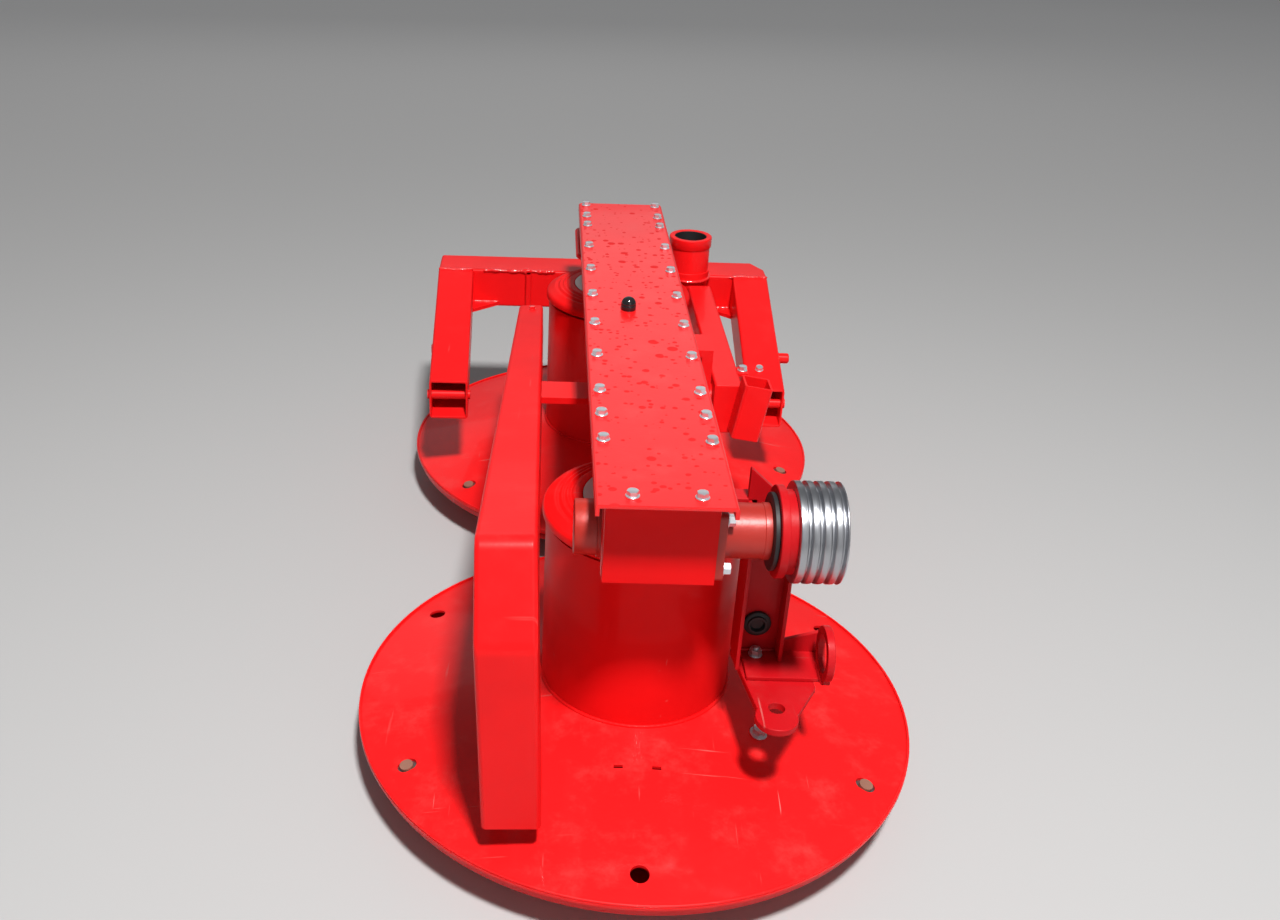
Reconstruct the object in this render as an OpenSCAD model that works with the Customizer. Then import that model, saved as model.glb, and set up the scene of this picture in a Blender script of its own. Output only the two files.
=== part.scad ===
/* [Cutting discs] */
// Radius of each cutting disc at its rim
disc_r = 392; // [380:1:400]
// Distance between the two drum axes
drum_pitch = 825; // [815:1:840]
// Height of the disc rim above the ground
disc_rim_z = 75; // [72:1:80]
// Rise of the disc cone from its rim to the drum
disc_rise = 55; // [45:1:60]
// Thickness of the disc sheet
disc_sheet = 4; // [3:0.5:6]
// Distance of the knife bolts from the disc rim
knife_inset = 42; // [38:1:50]
// Angle of the first knife bolt on the near disc
near_knife_angle = 88.5; // [0:0.5:120]
// Angle of the first knife bolt on the far disc
far_knife_angle = 98.5; // [0:0.5:120]

/* [Drums] */
// Outer radius of the drum cylinder
drum_r = 132; // [125:1:134]
// Gap between the open upper rim of the drum and the beam
drum_gap = 33; // [31:1:40]
// Radius of the drum cover
cover_r = 137; // [135:1:142]
// Depth of the drum cover below the underside of the beam
cover_depth = 27; // [20:1:27]
// Radius of the drum shaft
drum_shaft_r = 20; // [18:1:24]

/* [Sliding dishes] */
// Distance of the dish rim inside the disc rim
dish_inset = 6; // [3:1:12]
// Height of the top of the dish rim
dish_rim_z = 65; // [60:1:66]
// Radius of the flat bottom of the dish
dish_flat_r = 205; // [180:1:240]

/* [Gear beam] */
// Outer width of the beam box
beam_w = 132; // [126:1:136]
// Height of the beam from its underside to the top of the lid
beam_h = 128; // [124:1:132]
// Width of the lid over its side flanges
lid_w = 160; // [156:1:164]
// Height of the top face of the lid
lid_top_z = 539; // [536:1:545]
// Thickness of the lid sheet
lid_sheet = 5; // [4:0.5:6]
// Depth of the lid flanges below the top face
lid_drop = 15; // [12:1:18]
// Near end of the lid
lid_y0 = -666.5; // [-670:0.5:-660]
// Far end of the lid
lid_y1 = 507.5; // [500:0.5:510]

/* [Drive input] */
// Depth of the input shaft axis below the top of the lid
input_drop = 80; // [76:1:84]
// Position of the input shaft axis along the beam
input_y = -578.5; // [-582:0.5:-574]
// Radius of the bearing housing
housing_r = 33.5; // [30:0.5:35]
// Radius of the pulley over its rims
pulley_r = 61.5; // [58:0.5:64]
// Width of the pulley
pulley_w = 56; // [54:1:62]
// Depth of each belt groove
groove_depth = 6; // [4:0.5:8]
// Width of each belt groove at its mouth
groove_mouth = 5.5; // [4:0.5:7]
// Radius of the input shaft
input_shaft_r = 15; // [13:1:18]

/* [Belt guard] */
// Right face of the guard at its near end
guard_x1 = -140; // [-146:1:-140]
// Lean of the guard about its long axis
guard_lean = 2; // [0:0.5:3]
// Width of the guard at its near end
guard_near_w = 73; // [60:1:80]
// Width of the guard at its far end
guard_far_w = 45; // [40:1:55]
// Thickness of the guard sheet
guard_sheet = 3; // [2:0.5:4]

/* [Carrying arm] */
// Width of the arm tube
arm_w = 47; // [45:1:50]
// Left face of the arm tube
arm_x0 = 148; // [146:1:150]
// Height of the arm hinge axis
hinge_z = 325; // [320:1:330]
// Position of the arm hinge axis along the beam
hinge_y = 92.5; // [88:0.5:96]
// Radius of the hinge pin
hinge_pin_r = 15; // [12:1:16]

/* [Hitch frame] */
// Outer width of the hitch frame
hitch_w = 676; // [670:1:690]
// Sideways place of the middle of the hitch frame
hitch_mid_x = -22; // [-26:1:-18]
// Front face of the crossbeam
cross_y0 = 590.5; // [588:0.5:594]
// Depth of the crossbeam
cross_d = 90; // [86:1:96]
// Height of the top of the crossbeam
cross_top_z = 370; // [364:1:376]
// Height of the crossbeam tube
cross_h = 79; // [74:1:82]
// Width of the leg tubes
leg_side = 71; // [66:1:74]
// Height of the leg tubes
leg_h = 76; // [70:1:78]
// Inward slant of each leg towards its open end
leg_toe = 1.75; // [0:0.25:3]
// Position of the open near ends of the legs
leg_y0 = 232.5; // [225:0.5:245]
// Outer radius of the upright pivot sleeve
sleeve_r = 40; // [38:0.5:42]
// Height of the top of the upright sleeve
sleeve_top_z = 454; // [446:1:460]
// Radius of the lower link pins
link_pin_r = 10; // [9:0.5:11]
// Free length of the lower link pins
link_pin_out = 26; // [22:1:40]

/* [Hidden] */
$fn = 96;

red = [0.80, 0.05, 0.06];
primer = [0.45, 0.12, 0.09];
steel = [0.75, 0.76, 0.78];
black = [0.08, 0.08, 0.09];
brown = [0.30, 0.14, 0.09];

eps = 0.5;
seat = 0.3;
running = 0.05;

near_y = -drum_pitch / 2;
far_y = drum_pitch / 2;
dish_r = disc_r - dish_inset;
knife_circle_r = disc_r - knife_inset;
input_z = lid_top_z - input_drop;
beam_z0 = lid_top_z - beam_h;
drum_top_z = beam_z0 - drum_gap;
cover_lip_z = beam_z0 - cover_depth;
hitch_x0 = hitch_mid_x - hitch_w / 2;

beam_wall = 8;
breather_x = -13;
breather_y = -62;
stub_out = 34;
stub_collar = 7;
lid_under_z = lid_top_z - lid_sheet;
plate_inset = 41;
plate_t = 6;
beam_y0 = lid_y0 + plate_inset;
beam_y1 = lid_y1 - 15;
flange_t = 12;
lid_bend_r = 5;

disc_drum_z = disc_rim_z + disc_rise;
shaft_top_z = beam_z0 - 3;
shaft_low_z = 12;
hub_low_z = beam_z0 - 45;
hub_flange_r = 83.5;
dish_sheet = 4;
dish_band = 8;
dish_hub_top = 60;

housing_flange = 10;
housing_half = 45;
housing_x0 = beam_w / 2 + housing_flange;
housing_x1 = beam_w / 2 + 57;
seal_x0 = beam_w / 2 + 66;
seal_x1 = seal_x0 + 6;
ring_x0 = seal_x1 + seat;
ring_step_x = ring_x0 + 10;
pulley_x0 = ring_x0 + 20.5;
pulley_x1 = pulley_x0 + pulley_w;
grooves = 4;

channel_x0 = 118;
channel_x1 = 181;
channel_t = 5;
web_t = 10;
channel_web_y = input_y + pulley_r + 12;
channel_y0 = channel_web_y - 43;
channel_front_y = channel_web_y - 25;
hanger_seat = 26;
tongue_z = 215;
tongue_t = 10;
bar_t = 6;
channel_z0 = tongue_z + tongue_t + bar_t;

guard_y0 = lid_y0 - 66;
guard_y1 = far_y - 32;
guard_z0 = 125;
guard_peak_y = lid_y0 - 1;
guard_peak_z = beam_z0 + 84;
guard_tail_z = beam_z0 - 36;
guard_axis_z = beam_z0 + 29;
guard_toe = 6;

arm_y0 = 52.5;
arm_y1 = 542.5;
arm_z0 = 276;
arm_z1 = 365;
arm_wall = 6;
foot_t = 12;
foot_x0 = 126;
bracket_x1 = arm_x0 - 7;
pin_x0 = 100;
socket_side = 47;
socket_h = 97;
socket_lean = 9;
socket_wall = 4;

pivot_x = 152;
pivot_y = cross_y0 + 1;
post_r = 32;
leg_wall = 4;
leg_top0 = 278;
leg_slope = (cross_top_z - leg_top0) / (cross_y0 - leg_y0);
cross_z0 = cross_top_z - cross_h;
link_pin_y = leg_y0 + 150;
mouth_bar_y = leg_y0 + 16.5;
mouth_bar_r = 9;

// Height of the top face of the disc cone at radius r
function disc_z(r) = disc_drum_z - disc_rise * (r - drum_r) / (disc_r - drum_r);

// Slope angle of the disc cone
disc_slope = atan(disc_rise / (disc_r - drum_r));

strip_r0 = knife_circle_r - 165;
strip_w = 44;
strip_t = 5;
strip_gap = 0.45;
knife_pin_r = 7;
knife_run = (knife_circle_r - strip_r0) / cos(disc_slope);

// Solid of revolution about the X axis through the input axis
module about_input(points) {
    translate([0, input_y, input_z]) rotate([90, 0, 90]) rotate_extrude() polygon(points);
}

// Cylinder along X from x0 to x1
module bar_x(x0, x1, y, z, r) {
    translate([x0, y, z]) rotate([0, 90, 0]) cylinder(r = r, h = x1 - x0);
}

// Prism along X from a profile in the YZ plane
module prism_x(x0, x1, points) {
    translate([x0, 0, 0]) rotate([90, 0, 90]) linear_extrude(x1 - x0) polygon(points);
}

module beam_box() {
    h = lid_under_z - beam_z0;
    y0 = beam_y0 + plate_t;
    run = beam_y1 - beam_y0 - 2 * plate_t;
    flange_out = lid_w / 2 - lid_sheet - eps;
    flange_in = beam_w / 2 - 14;
    color(red) difference() {
        union() {
            translate([-beam_w / 2, y0, beam_z0]) cube([beam_w, run, h]);
            for (x = [-flange_out, flange_in])
                translate([x, y0, lid_under_z - flange_t]) cube([flange_out - flange_in, run, flange_t]);
        }
        translate([-beam_w / 2 + beam_wall, beam_y0, beam_z0 + beam_wall])
            cube([beam_w - 2 * beam_wall, beam_y1 - beam_y0, h]);
    }
}

module beam_end_plates() {
    color(red) for (y = [beam_y0, beam_y1 - plate_t])
        translate([-beam_w / 2, y, beam_z0]) cube([beam_w, plate_t, lid_under_z - beam_z0]);
}

// Outer section of the lid with its two bent corners
module lid_section() {
    w = lid_w;
    r = lid_bend_r;
    z = lid_top_z - lid_drop;
    union() {
        translate([-w / 2 + r, z]) square([w - 2 * r, lid_drop]);
        translate([-w / 2, z]) square([w, lid_drop - r]);
        for (s = [-1, 1]) translate([s * (w / 2 - r), lid_top_z - r]) circle(r);
    }
}

module beam_lid() {
    color(red) translate([0, lid_y1, 0]) rotate([90, 0, 0]) linear_extrude(lid_y1 - lid_y0) difference() {
        lid_section();
        translate([-lid_w / 2 + lid_sheet, lid_top_z - lid_drop - 1])
            square([lid_w - 2 * lid_sheet, lid_drop - lid_sheet + 1]);
    }
}

module breather_plug() {
    collar_h = 9;
    dome_r = 11.3;
    color(black) translate([breather_x, breather_y, lid_top_z]) rotate_extrude() intersection() {
        union() {
            square([dome_r + 0.2, collar_h]);
            translate([0, collar_h]) circle(dome_r);
        }
        square([dome_r + 1, collar_h + dome_r + 1]);
    }
}

module input_stub() {
    color(primer) union() {
        bar_x(-beam_w / 2 - stub_out, -beam_w / 2, input_y, input_z, housing_r);
        bar_x(-beam_w / 2 - stub_collar, -beam_w / 2, input_y, input_z, housing_r + 3);
    }
}

module bearing_housing() {
    color(primer) difference() {
        union() {
            translate([beam_w / 2, input_y - housing_half, input_z - housing_half])
                cube([housing_flange, 2 * housing_half, 2 * housing_half]);
            bar_x(housing_x0, housing_x1, input_y, input_z, housing_r);
            bar_x(housing_x1, seal_x0, input_y, input_z, housing_r + 1);
        }
        bar_x(beam_w / 2 - 1, seal_x0 + 1, input_y, input_z, input_shaft_r + running);
    }
}

module seal_ring() {
    r0 = input_shaft_r + 7;
    r1 = housing_r + 13.5;
    color(black) about_input([[r0, seal_x0], [r1, seal_x0], [r1, seal_x1], [r0, seal_x1]]);
}

module pulley_hub_ring() {
    r1 = pulley_r - 5.5;
    r2 = pulley_r - 10.5;
    color(red) about_input([
        [input_shaft_r, ring_x0], [r1 - 1, ring_x0], [r1, ring_x0 + 1], [r1, ring_step_x - 1],
        [r1 - 1, ring_step_x],
        [r2, ring_step_x], [r2, pulley_x0], [input_shaft_r, pulley_x0]]);
}

// Edge points of belt groove i: radius, then position along the shaft
function groove_points(i) =
    let (x = pulley_x0 + (i + 0.86) * (pulley_w - 3) / grooves, h = groove_mouth / 2)
    [[pulley_r, x - h], [pulley_r - groove_depth, x - 1], [pulley_r - groove_depth, x + 1],
    [pulley_r, x + h]];

module vbelt_pulley() {
    rim = [for (i = [0 : grooves - 1]) for (q = groove_points(i)) q];
    edge = 1.5;
    rim_in_r = 42;
    hub_r = 28;
    web_x = pulley_x1 - 22;
    hub_x1 = pulley_x1 - 4;
    color(steel) about_input(concat(
        [[input_shaft_r, pulley_x0], [pulley_r - edge, pulley_x0], [pulley_r, pulley_x0 + edge]],
        rim,
        [[pulley_r, pulley_x1 - edge], [pulley_r - edge, pulley_x1], [rim_in_r + 2, pulley_x1]],
        [[rim_in_r, web_x], [hub_r + 1, web_x], [hub_r, hub_x1], [input_shaft_r, hub_x1]]
    ));
}

module pulley_shaft() {
    color(steel) bar_x(beam_w / 2 + 4, pulley_x1 - 2, input_y, input_z, input_shaft_r);
}

module hanger_channel() {
    flange_h = input_z - 75 - channel_z0;
    web_low = input_z - 19;
    web_high = input_z + 45;
    color(red) difference() {
        union() {
            translate([0, channel_web_y + web_t, 0]) rotate([90, 0, 0]) linear_extrude(web_t) polygon([
                [channel_x0, channel_z0], [channel_x1, channel_z0], [channel_x1, web_low],
                [channel_x0 + 28, web_high - 26], [channel_x0, web_high]]);
            translate([channel_x0, channel_y0, channel_z0])
                cube([channel_t, channel_web_y - channel_y0 + 1, input_z - channel_z0]);
            translate([channel_x1 - channel_t, channel_front_y, channel_z0])
                cube([channel_t, channel_web_y - channel_front_y + 1, flange_h]);
            translate([beam_w / 2, channel_web_y, input_z - 34])
                cube([channel_x0 + 12 - beam_w / 2, hanger_seat, 36]);
        }
        bar_x(channel_x0 - 1, channel_x0 + 9, input_y, input_z, housing_r + 1);
    }
}

module hanger_plug() {
    r = 18;
    color(black) translate([(channel_x0 + channel_x1) / 2 - 1.5, channel_web_y, 276]) rotate([90, 0, 0])
        union() {
        cylinder(r = r, h = 5);
        cylinder(r = r - 5, h = 8);
    }
}

module tongue_plate() {
    x0 = channel_x0 + 1;
    x1 = x0 + 100;
    back_y = channel_web_y + web_t;
    nose_r = 30;
    hole_r = 10.5;
    color(red) translate([0, 0, tongue_z]) difference() {
        union() {
            linear_extrude(tongue_t) polygon([[x0, back_y], [x1, back_y], [x1, -573], [178, -644],
                [134, -641]]);
            translate([156, -632, 0]) cylinder(r = nose_r, h = tongue_t);
        }
        translate([162, -617, -1]) cylinder(r = hole_r, h = tongue_t + 2);
    }
}

module tongue_bar() {
    x1 = 236;
    color(red) union() {
        translate([131, channel_web_y - 58, tongue_z + tongue_t]) cube([x1 - 131, 70, bar_t]);
        translate([0, channel_web_y + bar_t, 0]) rotate([90, 0, 0]) linear_extrude(bar_t)
            polygon([[channel_x1, channel_z0 - 1], [x1, channel_z0 - 1], [x1, 264], [channel_x1, 247]]);
    }
}

module ring_lug() {
    r = 36;
    hole_r = 25;
    x0 = 226;
    t = 10;
    foot = 48;
    cy = -552;
    cz = channel_z0 + 32;
    color(red) difference() {
        union() {
            bar_x(x0, x0 + t, cy, cz, r);
            translate([x0, cy - foot / 2, channel_z0]) cube([t, foot, 16]);
        }
        bar_x(x0 - 1, x0 + t + 1, cy, cz, hole_r);
        translate([x0 - 1, cy - r - 1, channel_z0 - 20]) cube([t + 2, 2 * r + 2, 20]);
    }
}

module grab_loop() {
    r = 5;
    out = -86;
    bend = 12;
    y0 = 307;
    y1 = 481;
    z = beam_z0 + 84;
    color(red) union() {
        for (y = [y0, y1]) bar_x(out + bend, -beam_w / 2, y, z, r);
        translate([out, y1 - bend, z]) rotate([90, 0, 0]) cylinder(r = r, h = y1 - y0 - 2 * bend);
        translate([out + bend, y1 - bend, z]) rotate([0, 0, 90]) rotate_extrude(angle = 90)
            translate([bend, 0]) circle(r);
        translate([out + bend, y0 + bend, z]) rotate([0, 0, 180]) rotate_extrude(angle = 90)
            translate([bend, 0]) circle(r);
    }
}

// Plan of the guard, a narrow trapezoid drawn in by inset on both long sides
module guard_plan(inset) {
    linear_extrude(600) polygon([
        [guard_x1 - inset, guard_y0 - 10], [guard_x1 - guard_toe - inset, guard_y1 + 10],
        [guard_x1 - guard_toe - guard_far_w + inset, guard_y1 + 10],
        [guard_x1 - guard_near_w + inset, guard_y0 - 10]]);
}

module belt_guard() {
    t = guard_sheet;
    nose_top = guard_peak_z - 105;
    color(red) translate([guard_x1, 0, guard_axis_z]) rotate([0, -guard_lean, 0])
        translate([-guard_x1, 0, -guard_axis_z])
    difference() {
        intersection() {
            guard_plan(0);
            prism_x(guard_x1 - 100, guard_x1 + 10, [
                [guard_y0, guard_z0], [guard_y0, nose_top], [guard_peak_y, guard_peak_z],
                [guard_y1, guard_tail_z],
                [guard_y1, guard_tail_z - 57], [guard_peak_y + 107, guard_peak_z - 75],
                [guard_peak_y + 33, guard_peak_z - 95], [guard_peak_y + 27, guard_z0]]);
        }
        intersection() {
            guard_plan(t);
            prism_x(guard_x1 - 100, guard_x1 + 10, [
                [guard_y0 + t, guard_z0 - 25], [guard_y0 + t, nose_top - t / 2],
                [guard_peak_y + t, guard_peak_z - t],
                [guard_y1 + 10, guard_tail_z - 1 - t], [guard_y1 + 10, guard_tail_z - 125],
                [guard_peak_y + 107, guard_tail_z - 125], [guard_peak_y + 67, guard_z0 - 25]]);
        }
    }
}

module guard_bracket() {
    x0 = guard_x1 - guard_toe * 0.54 + 1;
    color(red) translate([x0, -140, beam_z0 + 2]) cube([-beam_w / 2 - x0, 60, 10]);
}

module arm_bracket() {
    cheek_t = 18;
    half = 36;
    top_z = beam_z0 + 14;
    low_z = beam_z0 + 2;
    color(red) difference() {
        union() {
            bar_x(pin_x0, bracket_x1, hinge_y, hinge_z, hinge_pin_r + 11);
            translate([bracket_x1 - cheek_t, hinge_y - half, hinge_z])
                cube([cheek_t, 2 * half, top_z - hinge_z]);
            bar_x(bracket_x1 - cheek_t, bracket_x1, hinge_y, hinge_z, half);
            translate([beam_w / 2, hinge_y - half, low_z])
                cube([bracket_x1 - beam_w / 2, 2 * half, top_z - low_z]);
        }
        bar_x(pin_x0 - 1, bracket_x1 + 1, hinge_y, hinge_z, hinge_pin_r);
    }
}

module hinge_pin() {
    color(steel) union() {
        bar_x(pin_x0, arm_x0 + arm_w + 10, hinge_y, hinge_z, hinge_pin_r);
        bar_x(arm_x0 + arm_w + seat, arm_x0 + arm_w + 8, hinge_y, hinge_z, hinge_pin_r + 8);
    }
}

// Sheet profile of the drum cover: a flat centre, three rings and a lip
module drum_cover(y) {
    t = 3;
    z = beam_z0;
    r = cover_r;
    color(red) translate([0, y, 0]) rotate_extrude() polygon([
        [92, z], [96, z], [100, z - 4], [104, z - 1], [108, z - 5], [112, z - 3],
        [116, z - 8], [121, z - 6], [128, z - 10], [r - 3, z - 13], [r, z - 17],
        [r, cover_lip_z], [r - t, cover_lip_z], [r - t, z - 17 - t / 2], [r - 5, z - 16],
        [126, z - 13], [120, z - 11], [90, z - 7], [hub_flange_r + 0.5, z - t], [hub_flange_r + 0.5, z]]);
}

module bearing_hub(y) {
    r = 45;
    flange_z = beam_z0 - 12;
    bore_r = drum_shaft_r + running;
    color(steel) translate([0, y, 0]) rotate_extrude() polygon([
        [bore_r, hub_low_z], [r, hub_low_z], [r, flange_z], [hub_flange_r, flange_z],
        [hub_flange_r, beam_z0],
        [bore_r, beam_z0]]);
}

module drum_shell(y) {
    t = 4;
    floor_z = drum_top_z - 26;
    floor_t = 6;
    color(red) translate([0, y, 0]) rotate_extrude() polygon([
        [drum_shaft_r, floor_z], [drum_r - t, floor_z], [drum_r - t, disc_drum_z],
        [drum_r, disc_drum_z], [drum_r, drum_top_z],
        [drum_r - t, drum_top_z], [drum_r - t, floor_z + floor_t], [drum_shaft_r, floor_z + floor_t]]);
}

module drum_shaft(y) {
    color(steel) translate([0, y, 0]) union() {
        translate([0, 0, shaft_low_z]) cylinder(r = drum_shaft_r, h = shaft_top_z - shaft_low_z);
        translate([0, 0, dish_hub_top + seat]) cylinder(r = drum_shaft_r + 12, h = 10);
        translate([0, 0, disc_drum_z - disc_sheet - 12]) cylinder(r = drum_shaft_r + 30, h = 12);
    }
}

module cutting_disc(y, angle) {
    t = disc_sheet;
    low = disc_rim_z - 10;
    deep = 40;
    window_r = 12;
    slot = [5, 12];
    slot_r = drum_r + 61.5;
    slot_half_gap = 25;
    bolt_hole_r = 10;
    bolt_hole_long = 6;
    color(red) translate([0, y, 0]) difference() {
        rotate_extrude() polygon([
            [drum_shaft_r, disc_drum_z - t], [drum_r, disc_drum_z - t], [disc_r, disc_rim_z - t],
            [disc_r, disc_rim_z],
            [drum_r, disc_drum_z], [drum_shaft_r, disc_drum_z]], $fn = 180);
        for (i = [0 : 2]) {
            rotate([0, 0, angle + 60 + 120 * i]) {
                translate([knife_circle_r - 2, 0, low]) cylinder(r = window_r, h = deep);
                for (s = [-slot_half_gap, slot_half_gap])
                    translate([slot_r, s - slot[1] / 2, disc_rim_z]) cube([slot[0], slot[1], deep + 20]);
            }
            rotate([0, 0, angle + 120 * i]) {
                for (x = [-bolt_hole_long / 2, bolt_hole_long / 2])
                    translate([knife_circle_r + x, 0, low]) cylinder(r = bolt_hole_r, h = deep);
                translate([knife_circle_r - bolt_hole_long / 2, -bolt_hole_r, low])
                    cube([bolt_hole_long, 2 * bolt_hole_r, deep]);
            }
        }
    }
}

// Place at the inner end of spring strip i, with Z square to the underside of the disc cone
module under_disc(y, turn) {
    translate([0, y, 0]) rotate([0, 0, turn])
        translate([strip_r0, 0, disc_z(strip_r0) - disc_sheet]) rotate([0, disc_slope, 0]) children();
}

// Spring strips under the disc, each fixed near the drum and free below a bolt
module knife_holders(y, angle) {
    color(steel) for (i = [0 : 2]) under_disc(y, angle + 120 * i) difference() {
        translate([0, -strip_w / 2, -strip_t - strip_gap]) cube([knife_run + 20.5, strip_w, strip_t]);
        translate([knife_run, 0, -strip_t - 1]) cylinder(r = knife_pin_r, h = strip_t + 2);
    }
}

module knife_bolts(y, angle) {
    low = -strip_t - 13;
    color(brown) for (i = [0 : 2]) under_disc(y, angle + 120 * i) translate([knife_run, 0, 0]) union() {
        translate([0, 0, low]) cylinder(r = knife_pin_r, h = 13 - strip_gap);
        translate([0, 0, low]) cylinder(r = knife_pin_r - 0.4, h = -low);
        cylinder(r = 9, h = 6);
        translate([0, 0, low]) cylinder(r = knife_pin_r + 4, h = 4);
    }
}

module sliding_dish(y) {
    t = dish_sheet;
    z1 = dish_rim_z;
    color(red) translate([0, y, 0]) difference() {
        rotate_extrude($fn = 180) polygon([
            [0, 0], [dish_flat_r, 0], [dish_r, z1 - dish_band], [dish_r, z1], [dish_r - 3, z1],
            [dish_r - 3, z1 - dish_band + t], [dish_flat_r, t], [48, t], [45, dish_hub_top],
            [0, dish_hub_top]]);
        translate([0, 0, shaft_low_z - 3]) cylinder(r = drum_shaft_r + running, h = 60);
    }
}

module carrying_arm() {
    color(red) difference() {
        union() {
            difference() {
                translate([arm_x0, arm_y0, arm_z0]) cube([arm_w, arm_y1 - arm_y0, arm_z1 - arm_z0]);
                translate([arm_x0 + arm_wall, arm_y0 + arm_wall, arm_z0 + arm_wall])
                    cube([arm_w - 2 * arm_wall, arm_y1 - arm_y0, arm_z1 - arm_z0 - 2 * arm_wall]);
            }
            bar_x(bracket_x1 + seat, arm_x0 + arm_w, hinge_y, hinge_z, hinge_pin_r + 9);
        }
        bar_x(bracket_x1 - 1, arm_x0 + arm_w + 1, hinge_y, hinge_z, hinge_pin_r + running);
    }
}

module pivot_post() {
    foot_y0 = arm_y1 - 62;
    foot_z = arm_z0 - foot_t;
    post_h = 130;
    color(red) union() {
        translate([foot_x0, foot_y0, foot_z]) cube([arm_x0 + arm_w - foot_x0, pivot_y - foot_y0, foot_t]);
        translate([pivot_x, pivot_y, foot_z]) cylinder(r = post_r + 10, h = foot_t);
        translate([pivot_x, pivot_y, arm_z0 - 1]) cylinder(r = post_r - running, h = post_h);
    }
}

module socket_tube() {
    w = socket_wall;
    inner = socket_side - 2 * w;
    color(red) translate([arm_x0 + 28, arm_y0 - socket_side, 290]) rotate([0, socket_lean, 0])
        difference() {
        cube([socket_side, socket_side, socket_h]);
        translate([w, w, -1]) cube([inner, inner, socket_h + 2]);
    }
}

// Plan of the crossbeam drawn in by inset, its right back corner cut away
module cross_plan(inset) {
    x0 = hitch_x0 + inset;
    x1 = hitch_x0 + hitch_w - inset;
    y1 = cross_y0 + cross_d - inset;
    polygon([[x0, cross_y0 + inset], [x1, cross_y0 + inset], [x1, y1 - 42], [x1 - 22 + inset / 4, y1],
        [x0 + 3, y1], [x0, y1 - 3]]);
}

module hitch_crossbeam() {
    w = 5;
    color(red) difference() {
        translate([0, 0, cross_z0]) linear_extrude(cross_h) cross_plan(0);
        translate([0, 0, cross_z0 + w]) linear_extrude(cross_h - 2 * w) cross_plan(w);
        translate([pivot_x, pivot_y, cross_z0 - 1]) cylinder(r = sleeve_r, h = cross_h + 2);
    }
}

// Outer face of the leg on side s (-1 left, 1 right) at position y
function leg_face_x(s, y) = (s > 0 ? hitch_x0 + hitch_w : hitch_x0) - s * (cross_y0 - y) * tan(leg_toe);

// Height of the centre line of the legs at position y
function leg_mid_z(y) = leg_top0 - leg_h / 2 + leg_slope * (y - leg_y0);

// Leg body on side s, drawn in by inset, from y0 to the crossbeam
module leg_body(s, inset, y0) {
    low = leg_h / 2 - inset;
    intersection() {
        linear_extrude(cross_top_z + 100) polygon([
            [leg_face_x(s, y0) - s * inset, y0], [leg_face_x(s, cross_y0) - s * inset, cross_y0],
            [leg_face_x(s, cross_y0) - s * (leg_side - inset), cross_y0],
            [leg_face_x(s, y0) - s * (leg_side - inset), y0]]);
        prism_x(hitch_x0 - 10, hitch_x0 + hitch_w + 10, [
            [y0, leg_mid_z(y0) - low], [cross_y0, leg_mid_z(cross_y0) - low],
            [cross_y0, leg_mid_z(cross_y0) + low], [y0, leg_mid_z(y0) + low]]);
    }
}

// Round bar through the leg on side s at position y, reaching out past its outer face
module leg_bar(s, y, r, out, back) {
    translate([leg_face_x(s, y), y, leg_mid_z(y)]) rotate([0, 0, -s * leg_toe]) rotate([0, s * 90, 0])
        translate([0, 0, -back]) cylinder(r = r, h = back + out);
}

module hitch_leg(s) {
    color(red) difference() {
        leg_body(s, 0, leg_y0);
        leg_body(s, leg_wall, leg_y0 - 10);
        leg_bar(s, link_pin_y, link_pin_r - 1, 5, leg_side + 5);
        leg_bar(s, mouth_bar_y, mouth_bar_r, 10, leg_side - leg_wall);
    }
}

module pivot_sleeve() {
    z0 = arm_z0 + seat;
    band_r = sleeve_r + 2.5;
    color(red) translate([pivot_x, pivot_y, 0]) difference() {
        union() {
            translate([0, 0, z0]) cylinder(r = sleeve_r, h = sleeve_top_z - z0);
            translate([0, 0, sleeve_top_z - 20]) cylinder(r = band_r, h = 20);
            translate([0, 0, cross_top_z + eps]) cylinder(r = band_r, h = 15);
        }
        translate([0, 0, z0 - 1]) cylinder(r = post_r, h = sleeve_top_z - z0 + 2);
    }
}

module hitch_pins() {
    color(red) for (s = [-1, 1]) union() {
        leg_bar(s, link_pin_y, link_pin_r, link_pin_out, 0);
        leg_bar(s, link_pin_y, link_pin_r - 1, 1, leg_side - 1);
        leg_bar(s, mouth_bar_y, mouth_bar_r, 4, leg_side - leg_wall);
    }
}

module hitch_gussets() {
    t = 7;
    along_cross = 54;
    along_leg = 46;
    z0 = cross_z0 + 3;
    xl = leg_face_x(-1, cross_y0) + leg_side;
    xr = leg_face_x(1, cross_y0) - leg_side;
    color(red) union() {
        translate([0, 0, z0]) linear_extrude(t) {
            polygon([[xl, cross_y0], [xl + along_cross, cross_y0],
                [xl + along_leg * tan(leg_toe), cross_y0 - along_leg]]);
            polygon([[xr, cross_y0], [xr - along_cross, cross_y0],
                [xr - along_leg * tan(leg_toe), cross_y0 - along_leg]]);
        }
        translate([-179, cross_y0 - 12, cross_z0 + 4]) cube([8, 12, cross_h - 8]);
    }
}

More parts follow.
